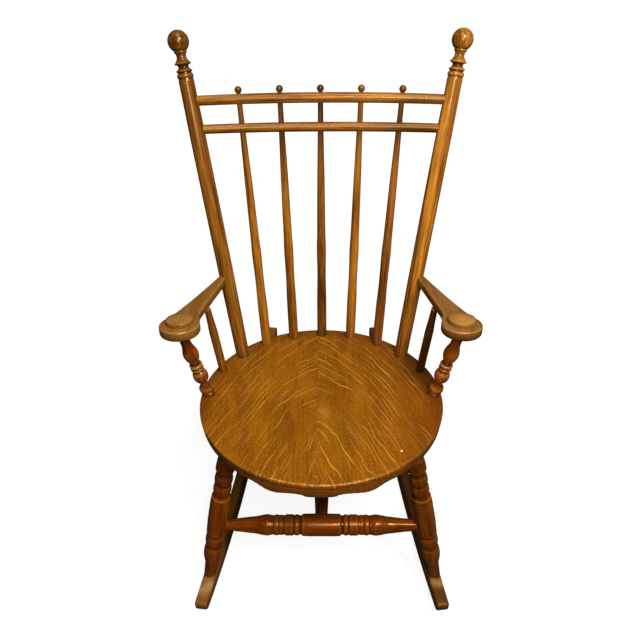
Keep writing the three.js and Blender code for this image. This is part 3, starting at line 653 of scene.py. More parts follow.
def add_turned(node, foot, top, rows, sides, material, joints=(0,), plain_from=math.inf,
               dark=(math.inf, 0), worn_from=math.inf):
    """A turned piece that stands on its foot and points to its top."""
    closed = [(rows[0][0], 0), *rows]
    if rows[-1][1] > TINY:
        closed.append((rows[-1][0], 0))
    turn = (top - foot).normalized().to_track_quat("Z", "Y").to_matrix().to_4x4()
    place = Matrix.Translation(foot * MM) @ turn
    mesh, points = lathe_mesh(f"{node}_turned", closed, sides, place)
    soil_and_shade, wear_and_highlight = relief_of(closed, joints, plain_from, dark, worn_from)
    soil_and_shade, wear_and_highlight = (spread_rows(values, closed, sides) for values in (soil_and_shade, wear_and_highlight))
    give_wood(mesh, node, points, soil_and_shade, wear_and_highlight)
    add_piece(mesh, node, material)


def add_held(node, guess, cuts, sides, tenons, material, dark=(0, 0)):
    """A turned piece that others hold at both ends."""
    foot, top, length = visible_axis(node, guess, *tenons)
    rows = reach_in(turned_rows(cuts, length), held_above=True)
    dark = dark_top(length, dark)
    add_turned(node, foot, top, rows, sides, material, (0, length), dark=dark)


# Materials


def tone(*channels):
    """A colour as it looks on a screen, from 0 to 255, as a linear one."""
    linear = []
    for channel in channels:
        value = channel / 255
        linear.append(value / 12.92 if value <= 0.04045 else ((value + 0.055) / 1.055) ** 2.4)
    return (*linear, 1)


class Shader:
    """The nodes of one procedural material, or of the world."""

    def __init__(self, owner):
        owner.use_nodes = True
        self.owner = owner
        self.tree = owner.node_tree
        self.tree.nodes.clear()

    def node(self, kind, inputs, **settings):
        made = self.tree.nodes.new(kind)
        for key, value in settings.items():
            setattr(made, key, value)
        for key, value in inputs.items():
            if isinstance(value, bpy.types.NodeSocket):
                self.tree.links.new(value, made.inputs[key])
            else:
                made.inputs[key].default_value = value
        return made

    def attribute(self, name, output="Vector"):
        return self.node("ShaderNodeAttribute", {}, attribute_name=name).outputs[output]

    def vectors(self, operation, first, second):
        made = self.node("ShaderNodeVectorMath", {0: first, 1: second}, operation=operation)
        return made.outputs[0]

    def length(self, vector):
        made = self.node("ShaderNodeVectorMath", {0: vector}, operation="LENGTH")
        return made.outputs["Value"]

    def parts(self, vector):
        return self.node("ShaderNodeSeparateXYZ", {0: vector}).outputs

    def joined(self, x, y, z):
        return self.node("ShaderNodeCombineXYZ", {0: x, 1: y, 2: z}).outputs[0]

    def noise(self, vector, waves, detail=2, roughness=0.5, distortion=0):
        inputs = {"Scale": 1, "Detail": detail, "Roughness": roughness, "Distortion": distortion}
        inputs["Vector"] = self.vectors("MULTIPLY", vector, waves)
        return self.node("ShaderNodeTexNoise", inputs).outputs["Fac"]

    def ramp(self, value, low, high, start=0, end=1):
        inputs = {"Value": value, "From Min": low, "From Max": high, "To Min": start, "To Max": end}
        made = self.node("ShaderNodeMapRange", inputs, interpolation_type="SMOOTHSTEP")
        return made.outputs["Result"]

    def spot(self, vector, middle, reach):
        """1 in the middle of an oval spot, falling to 0 at its edge."""
        away = self.vectors("SUBTRACT", vector, middle)
        return self.ramp(self.length(self.vectors("DIVIDE", away, reach)), 1, 0)

    def maths(self, operation, first, second=0.0):
        made = self.node("ShaderNodeMath", {0: first, 1: second}, operation=operation)
        return made.outputs[0]

    def times(self, *values):
        result = values[0]
        for value in values[1:]:
            result = self.maths("MULTIPLY", result, value)
        return result

    def painted(self, colour, *layers):
        """A colour with layers over it, each a share and a colour."""
        for share, paint in layers:
            inputs = {"Fac": share, "Color1": colour, "Color2": paint}
            colour = self.node("ShaderNodeMixRGB", inputs).outputs[0]
        return colour

    def varnished(self, colour, roughness, height, depth, coat, coat_roughness, glint):
        bump = self.node("ShaderNodeBump", {"Height": height, "Strength": 1, "Distance": depth})
        inputs = {
            "Base Color": colour, "Roughness": roughness, "Coat Weight": coat,
            "Coat Roughness": coat_roughness, "Specular Tint": glint, "Normal": bump.outputs[0],
        }
        surface = self.node("ShaderNodeBsdfPrincipled", inputs)
        self.node("ShaderNodeOutputMaterial", {"Surface": surface.outputs[0]})
        return self.owner

    def by_view(self, hidden, seen):
        """One look for the camera, and another for the light that bounces."""
        path = self.node("ShaderNodeLightPath", {})
        inputs = {0: path.outputs["Is Camera Ray"], 1: hidden.outputs[0], 2: seen.outputs[0]}
        return self.node("ShaderNodeMixShader", inputs).outputs[0]


def oak(name, dark, light, pore, dirt_and_shade, worn_and_highlight, roughness=0.3, coat=0.3, wear_and_highlight_share=0.5, glint=GOLDEN):
    """Varnished oak whose fibres run along the Z of the piece's own grain coordinates."""
    shader = Shader(bpy.data.materials.new(name))
    grain = shader.attribute("grain")
    bands = shader.noise(grain, BAND_WAVES, detail=3, roughness=0.55, distortion=0.4)
    streaks = shader.noise(grain, STREAK_WAVES, detail=3, roughness=0.6, distortion=0.2)
    fibres = shader.noise(grain, FIBRE_WAVES, roughness=0.6)
    patches = shader.noise(grain, PATCH_WAVES, detail=3, roughness=0.6)

    blend = shader.maths("ADD", shader.times(bands, 0.5), shader.times(streaks, 0.5))
    holes = shader.ramp(fibres, 0.56, 0.72)
    grained = (shader.ramp(blend, 0.34, 0.66), light)
    colour = shader.painted(dark, grained, (shader.times(holes, 0.4), pore))
    colour = shader.vectors("MULTIPLY", colour, shader.attribute("tint"))

    # Wear, and on the arms' rims a painted highlight
    wear_and_highlight = shader.ramp(patches, 0.3, 0.6, 0.35, 1)
    wear_and_highlight = shader.times(shader.attribute("wear_and_highlight", "Fac"), wear_and_highlight, wear_and_highlight_share)
    # Grime, and painted shade where a piece carries it
    soil_and_shade = shader.ramp(patches, 0.2, 0.7, 0.9, 0.63)
    soil_and_shade = shader.times(shader.attribute("soil_and_shade", "Fac"), soil_and_shade)
    colour = shader.painted(colour, (wear_and_highlight, worn_and_highlight), (soil_and_shade, dirt_and_shade))

    shine = shader.ramp(patches, 0.3, 0.7, roughness - 0.05, roughness + 0.07)
    height = shader.maths("SUBTRACT", shader.times(streaks, 0.25), shader.times(holes, 0.5))
    return shader.varnished(colour, shine, height, OAK_BUMP, coat, OAK_COAT_ROUGHNESS, glint)


def seat_ground(shader, place, rows, pores):
    """The colour of the seat without its flecks."""
    bands = shader.noise(place, SEAT_BAND_WAVES, detail=3, roughness=0.6, distortion=0.5)
    speckle = shader.noise(place, SPECKLE_WAVES, detail=3, roughness=0.75)
    blend = shader.maths("ADD", shader.times(bands, 0.6), shader.times(rows, 0.4))
    return shader.painted(
        tone(126, 72, 2),
        (shader.ramp(blend, 0.35, 0.65), tone(166, 104, 6)),
        # Reddish painted shade over the right of the seat, where the right arm shades it
        (shader.ramp(shader.parts(place)[0], *REDDISH_SHADE_OUT, 0, 0.65), tone(120, 58, 6)),
        (shader.times(shader.spot(place, *OLIVE_PATCH), 0.3), tone(112, 84, 16)),
        (shader.ramp(speckle, 0.36, 0.6, 0.5, 0), tone(92, 50, 2)),
        (shader.ramp(speckle, 0.5, 0.7, 0, 0.4), tone(192, 128, 24)),
        (shader.times(pores, 0.55), tone(84, 42, 2)),
    )


def seat_flecks(shader, place):
    """Pale flecks that run along the flow, in lanes that differ on the two halves."""
    half = shader.maths("GREATER_THAN", shader.parts(place)[0], SEAM_PLACE)
    half_shift = shader.times(half, HALF_STEP)
    along, across, _ = shader.parts(shader.attribute("fleck"))
    field = shader.joined(along, across, half_shift)

    def lines(pitch, width, waves, threshold, seed):
        """Thin lines side by side, each broken into lengths of its own."""
        sway = shader.noise(shader.vectors("ADD", field, (seed, 0, 0)), SWAY_WAVES, detail=1)
        lane = shader.maths("ADD", shader.maths("DIVIDE", across, pitch), shader.times(sway, 2.2))
        row = shader.maths("FLOOR", lane)
        centred = shader.maths("SUBTRACT", shader.maths("FRACT", lane), 0.5)
        offset = shader.maths("ABSOLUTE", centred)
        spot = shader.joined(along, shader.times(row, LANE_STEP), half_shift)
        moved = shader.vectors("ADD", spot, (seed, seed, 0))
        chance = shader.noise(moved, (waves, 1, 1), detail=1)
        shown = shader.ramp(chance, threshold, threshold + 0.06)
        swell = shader.ramp(chance, threshold, threshold + 0.25, 0.6, 1.5)
        reach = shader.times(swell, width, 0.5 / pitch)
        edge = shader.maths("SUBTRACT", 1, shader.maths("DIVIDE", offset, reach))
        return shader.times(shader.ramp(edge, 0, 0.6), shown)

    broad = lines(*BROAD_FLECKS)
    return shader.maths("MAXIMUM", broad, shader.times(lines(*FINE_FLECKS), 0.7))


def seat_marks(shader, place, colour):
    """Grime and painted shade towards the rim, a bruise, a chip, the front edge rubbed and partly a
    painted highlight, and a darker underside.
    """
    x, y, _ = shader.parts(place)
    radius = shader.length(shader.vectors("MULTIPLY", place, (1, 1, 0)))
    chipping = shader.noise(place, CHIPPING_WAVES, detail=4, roughness=0.7)
    rim = shader.ramp(radius, *RIM_DIRT_AND_SHADE_OUT, 0, 0.55)
    # The front edge: wear, and partly a painted highlight on its rounding
    worn_and_highlight = shader.times(
        shader.ramp(radius, *EDGE_WEAR_AND_HIGHLIGHT_TOP), shader.ramp(radius, *EDGE_WEAR_AND_HIGHLIGHT_SIDE),
        shader.ramp(y, *EDGE_WEAR_AND_HIGHLIGHT_FRONT),
        shader.ramp(shader.maths("ABSOLUTE", x), *EDGE_WEAR_AND_HIGHLIGHT_MIDDLE, 0.1, 1),
        shader.ramp(chipping, 0.45, 0.56, 0.1, 1), 0.75)
    return shader.painted(
        colour,
        # Grime and painted shade at the rim, at the sides and back
        (shader.times(rim, shader.ramp(y, *RIM_DIRT_AND_SHADE_BACK, 0.15, 1)), tone(96, 46, 4)),
        (shader.times(shader.spot(place, *BRUISE), 0.3), tone(186, 140, 70)),
        (shader.ramp(shader.spot(place, *CHIP), 0.1, 0.35), tone(236, 200, 130)),
        (worn_and_highlight, tone(214, 150, 76)),
        # The underside made darker
        (shader.times(shader.attribute("soil_and_shade", "Fac"), 0.8), tone(70, 34, 8)),
    )


def seat_oak():
    """Quartered oak veneer in two matched halves, with pale flecks that meet at the seam."""
    shader = Shader(bpy.data.materials.new("seat_oak_quartered"))
    place = shader.attribute("grain")
    rows = shader.noise(place, SEAT_ROW_WAVES, detail=3, roughness=0.6)
    pores = shader.ramp(shader.noise(place, SEAT_PORE_WAVES, roughness=0.6), 0.58, 0.7)
    patches = shader.noise(place, SEAT_PATCH_WAVES, detail=3, roughness=0.6)
    colour = seat_ground(shader, place, rows, pores)
    flecks = shader.times(seat_flecks(shader, place), 0.8)
    colour = shader.painted(colour, (flecks, tone(208, 153, 62)))
    colour = seat_marks(shader, place, colour)
    shine = shader.ramp(patches, 0.3, 0.7, 0.34, 0.46)
    height = shader.maths("SUBTRACT", shader.times(rows, 0.3), pores)
    coat = (SEAT_COAT, SEAT_COAT_ROUGHNESS, GOLDEN)
    return shader.varnished(colour, shine, height, SEAT_BUMP, *coat)


post_oak = oak(
    "post_oak_turned", dark=tone(84, 41, 4), light=tone(194, 127, 38), pore=tone(60, 28, 4),
    dirt_and_shade=tone(38, 20, 8), worn_and_highlight=tone(210, 152, 76), roughness=0.26, coat=0.13,
)
arm_wood = oak(
    "arm_oak_sawn", dark=tone(120, 80, 28), light=tone(150, 106, 50), pore=tone(92, 54, 16),
    dirt_and_shade=tone(44, 22, 4), worn_and_highlight=tone(216, 162, 96), coat=0.15, wear_and_highlight_share=0.75,
)
cap_wood = oak(
    "arm_oak_cap", dark=tone(126, 84, 28), light=tone(160, 112, 46), pore=tone(94, 56, 14),
    dirt_and_shade=tone(40, 18, 2), worn_and_highlight=tone(196, 150, 90), roughness=0.34, coat=0.1, wear_and_highlight_share=0.4,
)
# Darker and redder than the post oak: the legs' own tone, and partly painted shade under the seat
leg_oak = oak(
    "leg_oak_turned", dark=tone(84, 36, 2), light=tone(146, 76, 8), pore=tone(50, 20, 1),
    dirt_and_shade=tone(24, 9, 0), worn_and_highlight=tone(190, 118, 36), roughness=0.25, coat=0.04, glint=AMBER,
)
frame_wood = oak(
    "leg_oak_sawn", dark=tone(80, 44, 5), light=tone(122, 76, 14), pore=tone(52, 26, 2),
    dirt_and_shade=tone(24, 11, 1), worn_and_highlight=tone(176, 120, 40), roughness=0.34,
)
rocker_wood = oak(
    "rocker_oak_sawn", dark=tone(104, 62, 10), light=tone(146, 98, 30), pore=tone(64, 32, 4),
    dirt_and_shade=tone(34, 14, 1), worn_and_highlight=tone(206, 166, 108), roughness=0.42, coat=0.1, wear_and_highlight_share=0.8,
)
seat_wood = seat_oak()


# Seat panel


panel_low, panel_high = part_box("seat_panel")
panel_middle = (panel_low + panel_high) / 2
panel_place = (
    Matrix.Translation(panel_middle)
    @ Matrix.Rotation(-SEAT_TILT, 4, "X")
    @ Matrix.Translation((0, 0, SEAT_THICKNESS * MM / 2))
)


def fleck_flow(points):
    """Traces every place on the seat along its fleck to the seam: the way there, and its end."""
    out = np.abs(np.array([point.x for point in points]) - SEAM_PLACE)
    back = np.array([point.y for point in points])
    way = np.zeros(len(points))
    for _ in range(math.ceil(2 * SEAT_RADIUS / FLOW_STEP)):
        step = np.minimum(out, FLOW_STEP)
        bend_place = np.interp(back, BEND_BACK, BEND_OUT)
        bend = RUNS["ease"](np.clip(out / bend_place, 0, 1))
        steep = np.clip((APEX_BACK - back) / APEX_RUN, 0, 1) * np.exp(-out / APEX_REACH)
        degrees = np.interp(back, LEAN_BACK, SEAM_DEGREES)
        lean = np.radians(degrees + (OUTER_DEGREES - degrees) * bend)
        lean = lean + (APEX_LEAN - lean) * steep
        back = back + step * np.tan(lean)
        way = way + step / np.cos(lean)
        out = out - step
    return way, back


def add_seat_panel():
    inner = SEAT_RADIUS - SEAT_ROUNDING
    swings = [
        (SEAT_ROUNDING * math.sin(turn), SEAT_ROUNDING * math.cos(turn))
        for turn in quarter_turns(SEAT_ROUNDING_STEPS)
    ]
    low = SEAT_ROUNDING - SEAT_THICKNESS
    count = round(inner / SEAT_RING)
    rows = [(-SEAT_THICKNESS, inner * share) for share in SEAT_UNDER_SHARES]
    rows += [(low - drop, inner + out) for out, drop in swings]
    rows += [(rise - SEAT_ROUNDING, inner + out) for rise, out in swings]
    rows += [(0, inner * (1 - ring / count)) for ring in range(1, count + 1)]
    mesh, points = lathe_mesh("seat_panel_top", rows, SEAT_SIDES, panel_place)
    darkened_below = SEAT_UNDER_DARK_RISE - SEAT_THICKNESS
    give(mesh, "grain", points)
    give(mesh, "fleck", [(along, across, 0) for along, across in zip(*fleck_flow(points))])
    give(mesh, "soil_and_shade", [SEAT_UNDER_DARK if point.z < darkened_below else 0.0 for point in points])
    add_piece(mesh, "seat_panel", seat_wood)


add_seat_panel()


# Frame under the seat


def scallop_drop(x):
    """How far the front edge hangs below the plain edge, at a distance from the middle."""
    out = abs(x)
    for (near, first), (far, second) in zip(SCALLOP, SCALLOP[1:]):
        if out <= far:
            return first + (second - first) * RUNS["ease"]((out - near) / (far - near))
    return 0


def frame_section(angle, scalloped):
    """The outline of the frame's section at an angle, counted from the right towards the back."""
    outline = []
    for radius, outward, low in FRAME_CORNERS:
        turns = quarter_turns(FRAME_ROUNDING_STEPS)
        if low != (outward > 0):
            turns.reverse()
        for turn in turns:
            place = radius - outward * FRAME_ROUNDING * (1 - math.sin(turn))
            rise = FRAME_ROUNDING * (1 - math.cos(turn))
            x = place * math.cos(angle)
            bottom = -FRAME_BOTTOM - (scallop_drop(x) if scalloped else 0)
            height = bottom + rise if low else -FRAME_TOP - rise
            outline.append(Vector((x, place * math.sin(angle), height)))
    return outline


def add_frame(node, from_bearing, to_bearing):
    """A sawn length of the ring, between two bearings counted from the rear to the right."""
    start = math.radians(90 - to_bearing) + FRAME_GAP / 2 / FRAME_OUTER
    end = math.radians(90 - from_bearing) - FRAME_GAP / 2 / FRAME_OUTER
    steps = math.ceil((end - start) / FRAME_STEP)
    angles = [start + (end - start) * step / steps for step in range(steps + 1)]
    sections = [frame_section(angle, node == "frame_front") for angle in angles]
    mesh, points = loft_mesh(f"{node}_sawn", sections, panel_place)
    turn = Matrix.Rotation(-(start + end) / 2, 3, "Z")
    fibres = [Vector((place.x, place.z, place.y)) for place in (turn @ point for point in points)]
    soiled_above = -FRAME_TOP - FRAME_TOP_SOIL_DROP
    soil_and_shade = [FRAME_TOP_SOIL if point.z > soiled_above else 0.0 for point in points]
    give_wood(mesh, node, fibres, soil_and_shade, [0.0] * len(points))
    add_piece(mesh, node, frame_wood)


add_frame("frame_front", 180 - FRONT_DEGREES / 2, 180 + FRONT_DEGREES / 2)
add_frame("frame_right", REAR_DEGREES / 2, 180 - FRONT_DEGREES / 2)
add_frame("frame_rear", -REAR_DEGREES / 2, REAR_DEGREES / 2)
add_frame("frame_left", FRONT_DEGREES / 2 - 180, -REAR_DEGREES / 2)


# Back posts, spindles and the uprights under the arms


def add_back_post(hand, side):
    node = f"back_post_{hand}"
    guess = (POST_LEAN * side, BACK_LEAN, 1)
    foot, top, length = visible_axis(node, guess, SEAT_TENON, FINIAL_RADIUS)
    finial = [(length - below * FINIAL_RADIUS, share * FINIAL_RADIUS) for below, share in FINIAL_CUTS]
    finial_start = finial[0][0] - FINIAL_GAP
    shaft = [row for row in turned_rows(POST_CUTS, length) if row[0] < finial_start]
    ball = ball_rows(length - FINIAL_DROP, FINIAL_RADIUS, FINIAL_NECK_SHARE, FINIAL_STEPS)
    rows = reach_in([*shaft, *finial, *ball], held_above=False)
    add_turned(
        node, foot, top, rows, POST_SIDES, post_oak,
        plain_from=length - FINIAL_PLAIN, dark=dark_top(length, POST_DARK[hand]))


def add_back_spindle(number):
    node = f"back_spindle_{number}"
    guess = (SPINDLE_LEAN * (number - (SPINDLE_COUNT + 1) / 2), BACK_LEAN, 1)
    foot, top, length = visible_axis(node, guess, SEAT_TENON, BALL_RADIUS)
    shaft = turned_rows(SPINDLE_CUTS, length - BALL_RISE)
    ball = ball_rows(length, BALL_RADIUS, BALL_NECK_SHARE, BALL_STEPS)
    neck = (ball[0][0] - BALL_NECK_DROP, BALL_NECK_RADIUS)
    rows = reach_in([*shaft, neck, *ball], held_above=False)
    add_turned(
        node, foot, top, rows, SPINDLE_SIDES, post_oak,
        plain_from=length - BALL_PLAIN, dark=dark_top(length, SPINDLE_DARK))


def add_arm_uprights(hand, side):
    guess = (ARM_UPRIGHT_LEAN * side, 0, 1)
    for name, (cuts, sides) in ARM_UPRIGHTS.items():
        tenons = (SEAT_TENON, ARM_TENON)
        add_held(f"{name}_{hand}", guess, cuts, sides, tenons, post_oak)


for hand, side in HANDS:
    add_back_post(hand, side)
for number in range(1, SPINDLE_COUNT + 1):
    add_back_spindle(number)
for hand, side in HANDS:
    add_arm_uprights(hand, side)


# Bent rails


def add_rail(node, radius):
    """A bent round rail. Its bow comes from the middle and the end of its CAD piece."""
    end = end_middle(corners_of(node), Vector((1, 0, 0)))
    low, high = (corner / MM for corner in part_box(node))
    middle_y, middle_z = high.y - radius, low.z + radius
    shares, sizes = zip(*RAIL_SHARES)
    sections = []
    fibres = []
    for step in range(RAIL_STEPS + 1):
        x = -end.x + 2 * end.x * step / RAIL_STEPS
        bend = (x / end.x) ** 2
        y = middle_y + (end.y - middle_y) * bend
        z = middle_z + (end.z - middle_z) * bend
        size = radius * float(np.interp((x / end.x + 1) / 2, shares, sizes))
        turns = full_turns(RAIL_SIDES)
        offsets = [Vector((0, size * math.cos(turn), size * math.sin(turn))) for turn in turns]
        sections.append([Vector((x, y, z)) + offset for offset in offsets])
        fibres += [Vector((offset.y, offset.z, x)) for offset in offsets]
    mesh, points = loft_mesh(f"{node}_bent", sections, Matrix.Identity(4))
    clean = [0.0] * len(points)
    give_wood(mesh, node, fibres, clean, clean)
    add_piece(mesh, node, post_oak)


for node, radius in RAIL_RADII.items():
    add_rail(node, radius)


# Arms


def curve(ends, steps):
    """Points along a curve with two or three straight pulls."""
    points = []
    for index in range(steps + 1):
        t = index / steps
        work = list(ends)
        while len(work) > 1:
            work = [first.lerp(second, t) for first, second in zip(work, work[1:])]
        points.append(work[0])
    return points


def arm_place(side):
    place = Matrix.Translation(Vector((side * ARM_PLACE.x, ARM_PLACE.y, ARM_PLACE.z)) * MM)
    return place @ Matrix.Rotation(-ARM_TILT, 4, "X")


def arm_outline():
    """The right arm from above, in its own frame: X outwards, Y back."""
    to_arm = arm_place(1).inverted()
    post = axis_of("back_post_right", (POST_LEAN, BACK_LEAN, 1))
    foot, top = [to_arm @ (point * MM) / MM for point in post]
    end = foot.lerp(top, (-ARM_THICKNESS / 2 - foot.z) / (top.z - foot.z)).to_2d()
    outer = Vector((end.x + ARM_END_OUTSET + ARM_END_WIDTH / 2, end.y))
    inner = Vector((outer.x - ARM_END_WIDTH, end.y))
    leave = math.atan2(outer.y, outer.x) - math.acos(PADDLE_RADIUS / outer.length) + OUTER_TURN

    def on_paddle(angle):
        return Vector((math.cos(angle), math.sin(angle))) * PADDLE_RADIUS

    outer_aim = on_paddle(leave) + on_paddle(leave + math.pi / 2) * OUTER_PULL
    join_aim = on_paddle(JOIN_ANGLE) + on_paddle(JOIN_ANGLE - math.pi / 2) * JOIN_PULL
    waist_aim = WAIST.lerp(inner, WAIST_PULL)
    sweep = 2 * math.pi - (JOIN_ANGLE - leave)
    paddle = [on_paddle(leave - sweep * step / PADDLE_STEPS) for step in range(PADDLE_STEPS + 1)]
    return [
        *curve((outer, outer_aim, on_paddle(leave)), OUTER_STEPS),
        *paddle[1:],
        *curve((on_paddle(JOIN_ANGLE), join_aim, waist_aim, WAIST), INNER_STEPS)[1:],
        *curve((WAIST, inner), INNER_STEPS)[1:],
    ][::-1]


def arm_painted_shade(point, hand):
    """Painted shade, darker towards the underside of an arm."""
    return min(1, max(0, -point.z - ARM_SHADE_DEPTH) / ARM_SHADE_REACH[hand])


def arm_rim_wear_and_highlight(point):
    """Rubbing and a painted highlight along the rounded upper edge of an arm."""
    near, far = (share * ARM_ROUNDING for share in ARM_RIM_SHARES)
    return ARM_RIM_WEAR_AND_HIGHLIGHT if near < -point.z < far else 0.0


def add_arm(hand, side):
    node = f"arm_{hand}"
    outline = arm_outline()
    if side < 0:
        outline = [Vector((-point.x, point.y)) for point in outline][::-1]
    roundings = (ARM_ROUNDING, ARM_UNDER_ROUNDING)
    mesh, points = sawn_mesh(f"{node}_sawn", outline, ARM_THICKNESS, roundings, arm_place(side))
    fibres = [Vector((point.x, point.z, point.y)) for point in points]
    soil_and_shade = [arm_painted_shade(point, hand) for point in points]
    give_wood(mesh, node, fibres, soil_and_shade, [arm_rim_wear_and_highlight(point) for point in points])
    add_piece(mesh, node, arm_wood)


def add_cap(hand, side):
    foot = arm_place(side) @ (Vector((0, CAP_BACK, 0)) * MM) / MM
    top = foot + Vector((0, math.sin(ARM_TILT), math.cos(ARM_TILT)))
    add_turned(
        f"arm_cap_{hand}", foot, top, CAP_POINTS, CAP_SIDES, cap_wood, CAP_JOINT_AND_SHADE_HEIGHTS,
        plain_from=CAP_PLAIN, worn_from=CAP_WORN)


for hand, side in HANDS:
    add_arm(hand, side)
    add_cap(hand, side)


# Rockers


def rolled_rise(along):
    """How far the sweep has risen, at a distance along the rocker."""
    return SWEEP_RADIUS - math.sqrt(SWEEP_RADIUS**2 - along**2)


def sweep_height(along):
    """The height of the sole, which is flat where the chair stands at rest."""
    return max(0, rolled_rise(along) - rolled_rise(ROCKER_PITCH / 2))


def along_rocker(back):
    return (back - ROCKER_REST) / math.cos(ROCKER_TURN)


ROCKER_TIPS = (along_rocker(ROCKER_FRONT + TIP_INSET), along_rocker(ROCKER_REAR - TIP_INSET))
FRONT_LEG_ALONG = along_rocker(FRONT_FOOT)
REAR_LEG_ALONG = along_rocker(REAR_FOOT)


def rocker_depth(along):
    """A rocker is deepest between the legs and gets lower towards its tips."""
    front, rear = ROCKER_TIPS
    places = (front, FRONT_LEG_ALONG, REAR_LEG_ALONG, rear)
    depths = (FRONT_TIP_HEIGHT, ROCKER_HEIGHT, ROCKER_HEIGHT, REAR_TIP_HEIGHT)
    return float(np.interp(along, places, depths))


def rocker_edge(along, rise):
    """A place on a rocker's side, at a height above the curve that it rolls on."""
    return Vector((along, sweep_height(along) + rise))


def rocker_end(tip, inward):
    """The rounded end of a rocker, from its lower to its upper edge."""
    low = []
    high = []
    for turn in quarter_turns(TOE_STEPS):
        out, up = 1 - math.sin(turn), 1 - math.cos(turn)
        low.append(rocker_edge(tip + inward * TOE_LOW * out, TOE_LOW * up))
        run = tip + inward * TOE_HIGH * up
        high.append(rocker_edge(run, rocker_depth(run) - TOE_HIGH * out))
    return [*low, *high]


def rocker_outline():
    front, rear = ROCKER_TIPS
    runs = [front + (rear - front) * step / ROCKER_STEPS for step in range(ROCKER_STEPS + 1)]
    toe = TOE_LOW + TOE_MARGIN
    runs = [along for along in runs if front + toe < along < rear - toe]
    lower = [rocker_edge(along, 0) for along in runs]
    upper = [rocker_edge(along, rocker_depth(along)) for along in runs]
    return [*lower, *rocker_end(rear, -1), *upper[::-1], *rocker_end(front, 1)[::-1]]


def rocker_place(side):
    inward = (ROCKER_REST - (ROCKER_FRONT + TIP_INSET)) * math.tan(ROCKER_TURN)
    along = Vector((-side * math.sin(ROCKER_TURN), math.cos(ROCKER_TURN), 0))
    vertical = Vector((0, 0, 1))
    turn = Matrix((along, vertical, along.cross(vertical))).transposed().to_4x4()
    origin = Vector((side * (ROCKER_FRONT_PLACE - inward), ROCKER_REST, 0))
    centred = Matrix.Translation((0, 0, ROCKER_THICKNESS / 2 * MM))
    return Matrix.Translation(origin * MM) @ turn @ centred


def rocker_painted_shade(point, side):
    """Painted shade under the seat, on the inner face behind the front leg."""
    run = max(0, point.x - FRONT_LEG_ALONG - ROCKER_SHADE_START)
    left_inner = point.z > -ROCKER_ROUNDING
    right_inner = point.z < ROCKER_ROUNDING - ROCKER_THICKNESS
    return ROCKER_SHADE * min(1, run / ROCKER_SHADE_RUN) * (left_inner if side < 0 else right_inner)


def add_rocker(hand, side):
    node = f"rocker_{hand}"
    roundings = (ROCKER_ROUNDING, ROCKER_ROUNDING)
    mesh, points = sawn_mesh(
        f"{node}_sawn", rocker_outline(), ROCKER_THICKNESS, roundings, rocker_place(side))
    fibres = [Vector((point.z, point.y, point.x)) for point in points]
    soil_and_shade = [rocker_painted_shade(point, side) for point in points]
    away, reach = STEP_WEAR[hand]
    worn_at = FRONT_LEG_ALONG - away
    wear_and_highlight = [math.exp(-(((point.x - worn_at) / reach) ** 2)) for point in points]
    give_wood(mesh, node, fibres, soil_and_shade, wear_and_highlight)
    add_piece(mesh, node, rocker_wood)


for hand, side in HANDS:
    add_rocker(hand, side)


# Legs and stretchers


def add_legs(hand, side):
    guess = (LEG_LEAN * side, 0, 1)
    for name, (cuts, sides) in LEGS.items():
        tenons = (FOOT_TENON, LEG_TENON)
        # Painted shade under the seat on the upper legs
        dark = LEG_DARK[hand]
        add_held(f"{name}_{hand}", guess, cuts, sides, tenons, leg_oak, dark)


def add_stretcher(node, guess, cuts, insets, sides, mirrored):
    """A stretcher, cut off where its ends are hidden in the pieces that hold it."""
    foot, top, length = visible_axis(node, guess, *insets)
    rows = turned_rows(cuts, length / 2 if mirrored else length)
    if mirrored:
        rows += [(length - height, radius) for height, radius in rows[-2::-1]]
    rows = [row for row in rows if HIDDEN_REACH < row[0] < length - HIDDEN_REACH]
    add_turned(node, foot, top, rows, sides, leg_oak, joints=())


for hand, side in HANDS:
    add_legs(hand, side)
for node, stretcher in STRETCHERS.items():
    add_stretcher(node, *stretcher)


# Stage: floor, light and camera


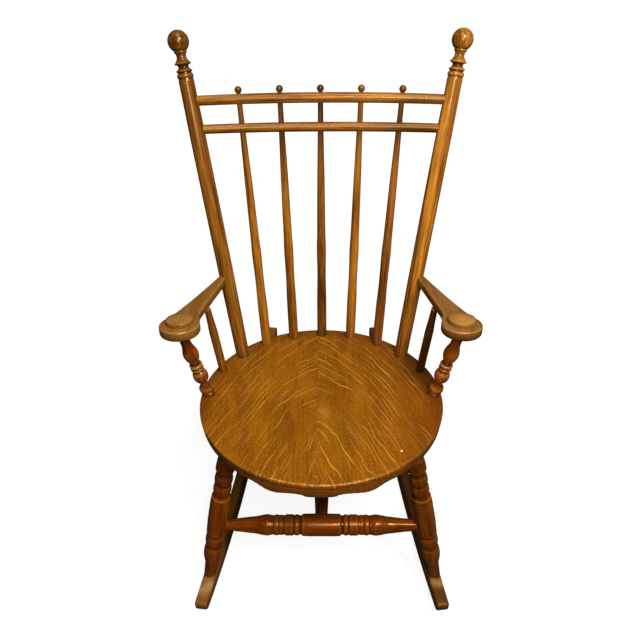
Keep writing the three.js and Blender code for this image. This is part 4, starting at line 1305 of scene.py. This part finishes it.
def add_floor():
    corners = [
        Vector((x * FLOOR_HALF, y * FLOOR_HALF, -FLOOR_DROP))
        for x, y in ((-1, -1), (1, -1), (1, 1), (-1, 1))
    ]
    mesh = mesh_of("floor", corners, [[0, 1, 2, 3]], Matrix.Identity(4))
    floor = bpy.data.objects.new("floor", mesh)
    bpy.context.scene.collection.objects.link(floor)
    shader = Shader(bpy.data.materials.new("floor_paper"))
    place = shader.node("ShaderNodeNewGeometry", {}).outputs["Position"]
    glow = shader.ramp(shader.spot(place, *FLOOR_GLOW_SPOT), 0, 0.8, *FLOOR_GLOW)
    bounce = shader.node("ShaderNodeBsdfDiffuse", {"Color": FLOOR_BOUNCE})
    grey = shader.node("ShaderNodeBsdfDiffuse", {"Color": FLOOR_GREY})
    lift = shader.node("ShaderNodeEmission", {"Color": WHITE, "Strength": glow})
    seen = shader.node("ShaderNodeAddShader", {0: grey.outputs[0], 1: lift.outputs[0]})
    shader.node("ShaderNodeOutputMaterial", {"Surface": shader.by_view(bounce, seen)})
    mesh.materials.append(shader.owner)


def add_world():
    world = bpy.data.worlds.new("white_room")
    bpy.context.scene.world = world
    shader = Shader(world)
    inputs = {"Color": ROOM_COLOUR, "Strength": ROOM_STRENGTH}
    room = shader.node("ShaderNodeBackground", inputs)
    white = shader.node("ShaderNodeBackground", {"Color": WHITE, "Strength": WHITE_STRENGTH})
    shader.node("ShaderNodeOutputWorld", {"Surface": shader.by_view(room, white)})


def add_lamp(name, place, aim, size, power):
    data = bpy.data.lights.new(name, "AREA")
    data.shape = "RECTANGLE"
    data.size, data.size_y = size
    data.energy = power
    data.color = LAMP_COLOUR
    lamp = bpy.data.objects.new(name, data)
    lamp.location = place
    lamp.rotation_mode = "QUATERNION"
    lamp.rotation_quaternion = (Vector(aim) - Vector(place)).to_track_quat("-Z", "Y")
    bpy.context.scene.collection.objects.link(lamp)


def add_camera():
    data = bpy.data.cameras.new("camera")
    data.lens = CAMERA_LENS
    data.sensor_width = CAMERA_SENSOR
    place = Matrix.Translation(CAMERA_PLACE)
    for axis, degrees in CAMERA_TURNS:
        place = place @ Matrix.Rotation(math.radians(degrees), 4, axis)
    camera = bpy.data.objects.new("camera", data)
    camera.matrix_world = place
    bpy.context.scene.collection.objects.link(camera)
    bpy.context.scene.camera = camera


add_floor()
add_world()
for lamp in LAMPS:
    add_lamp(*lamp)
add_camera()
bpy.context.scene.view_settings.view_transform = "Standard"
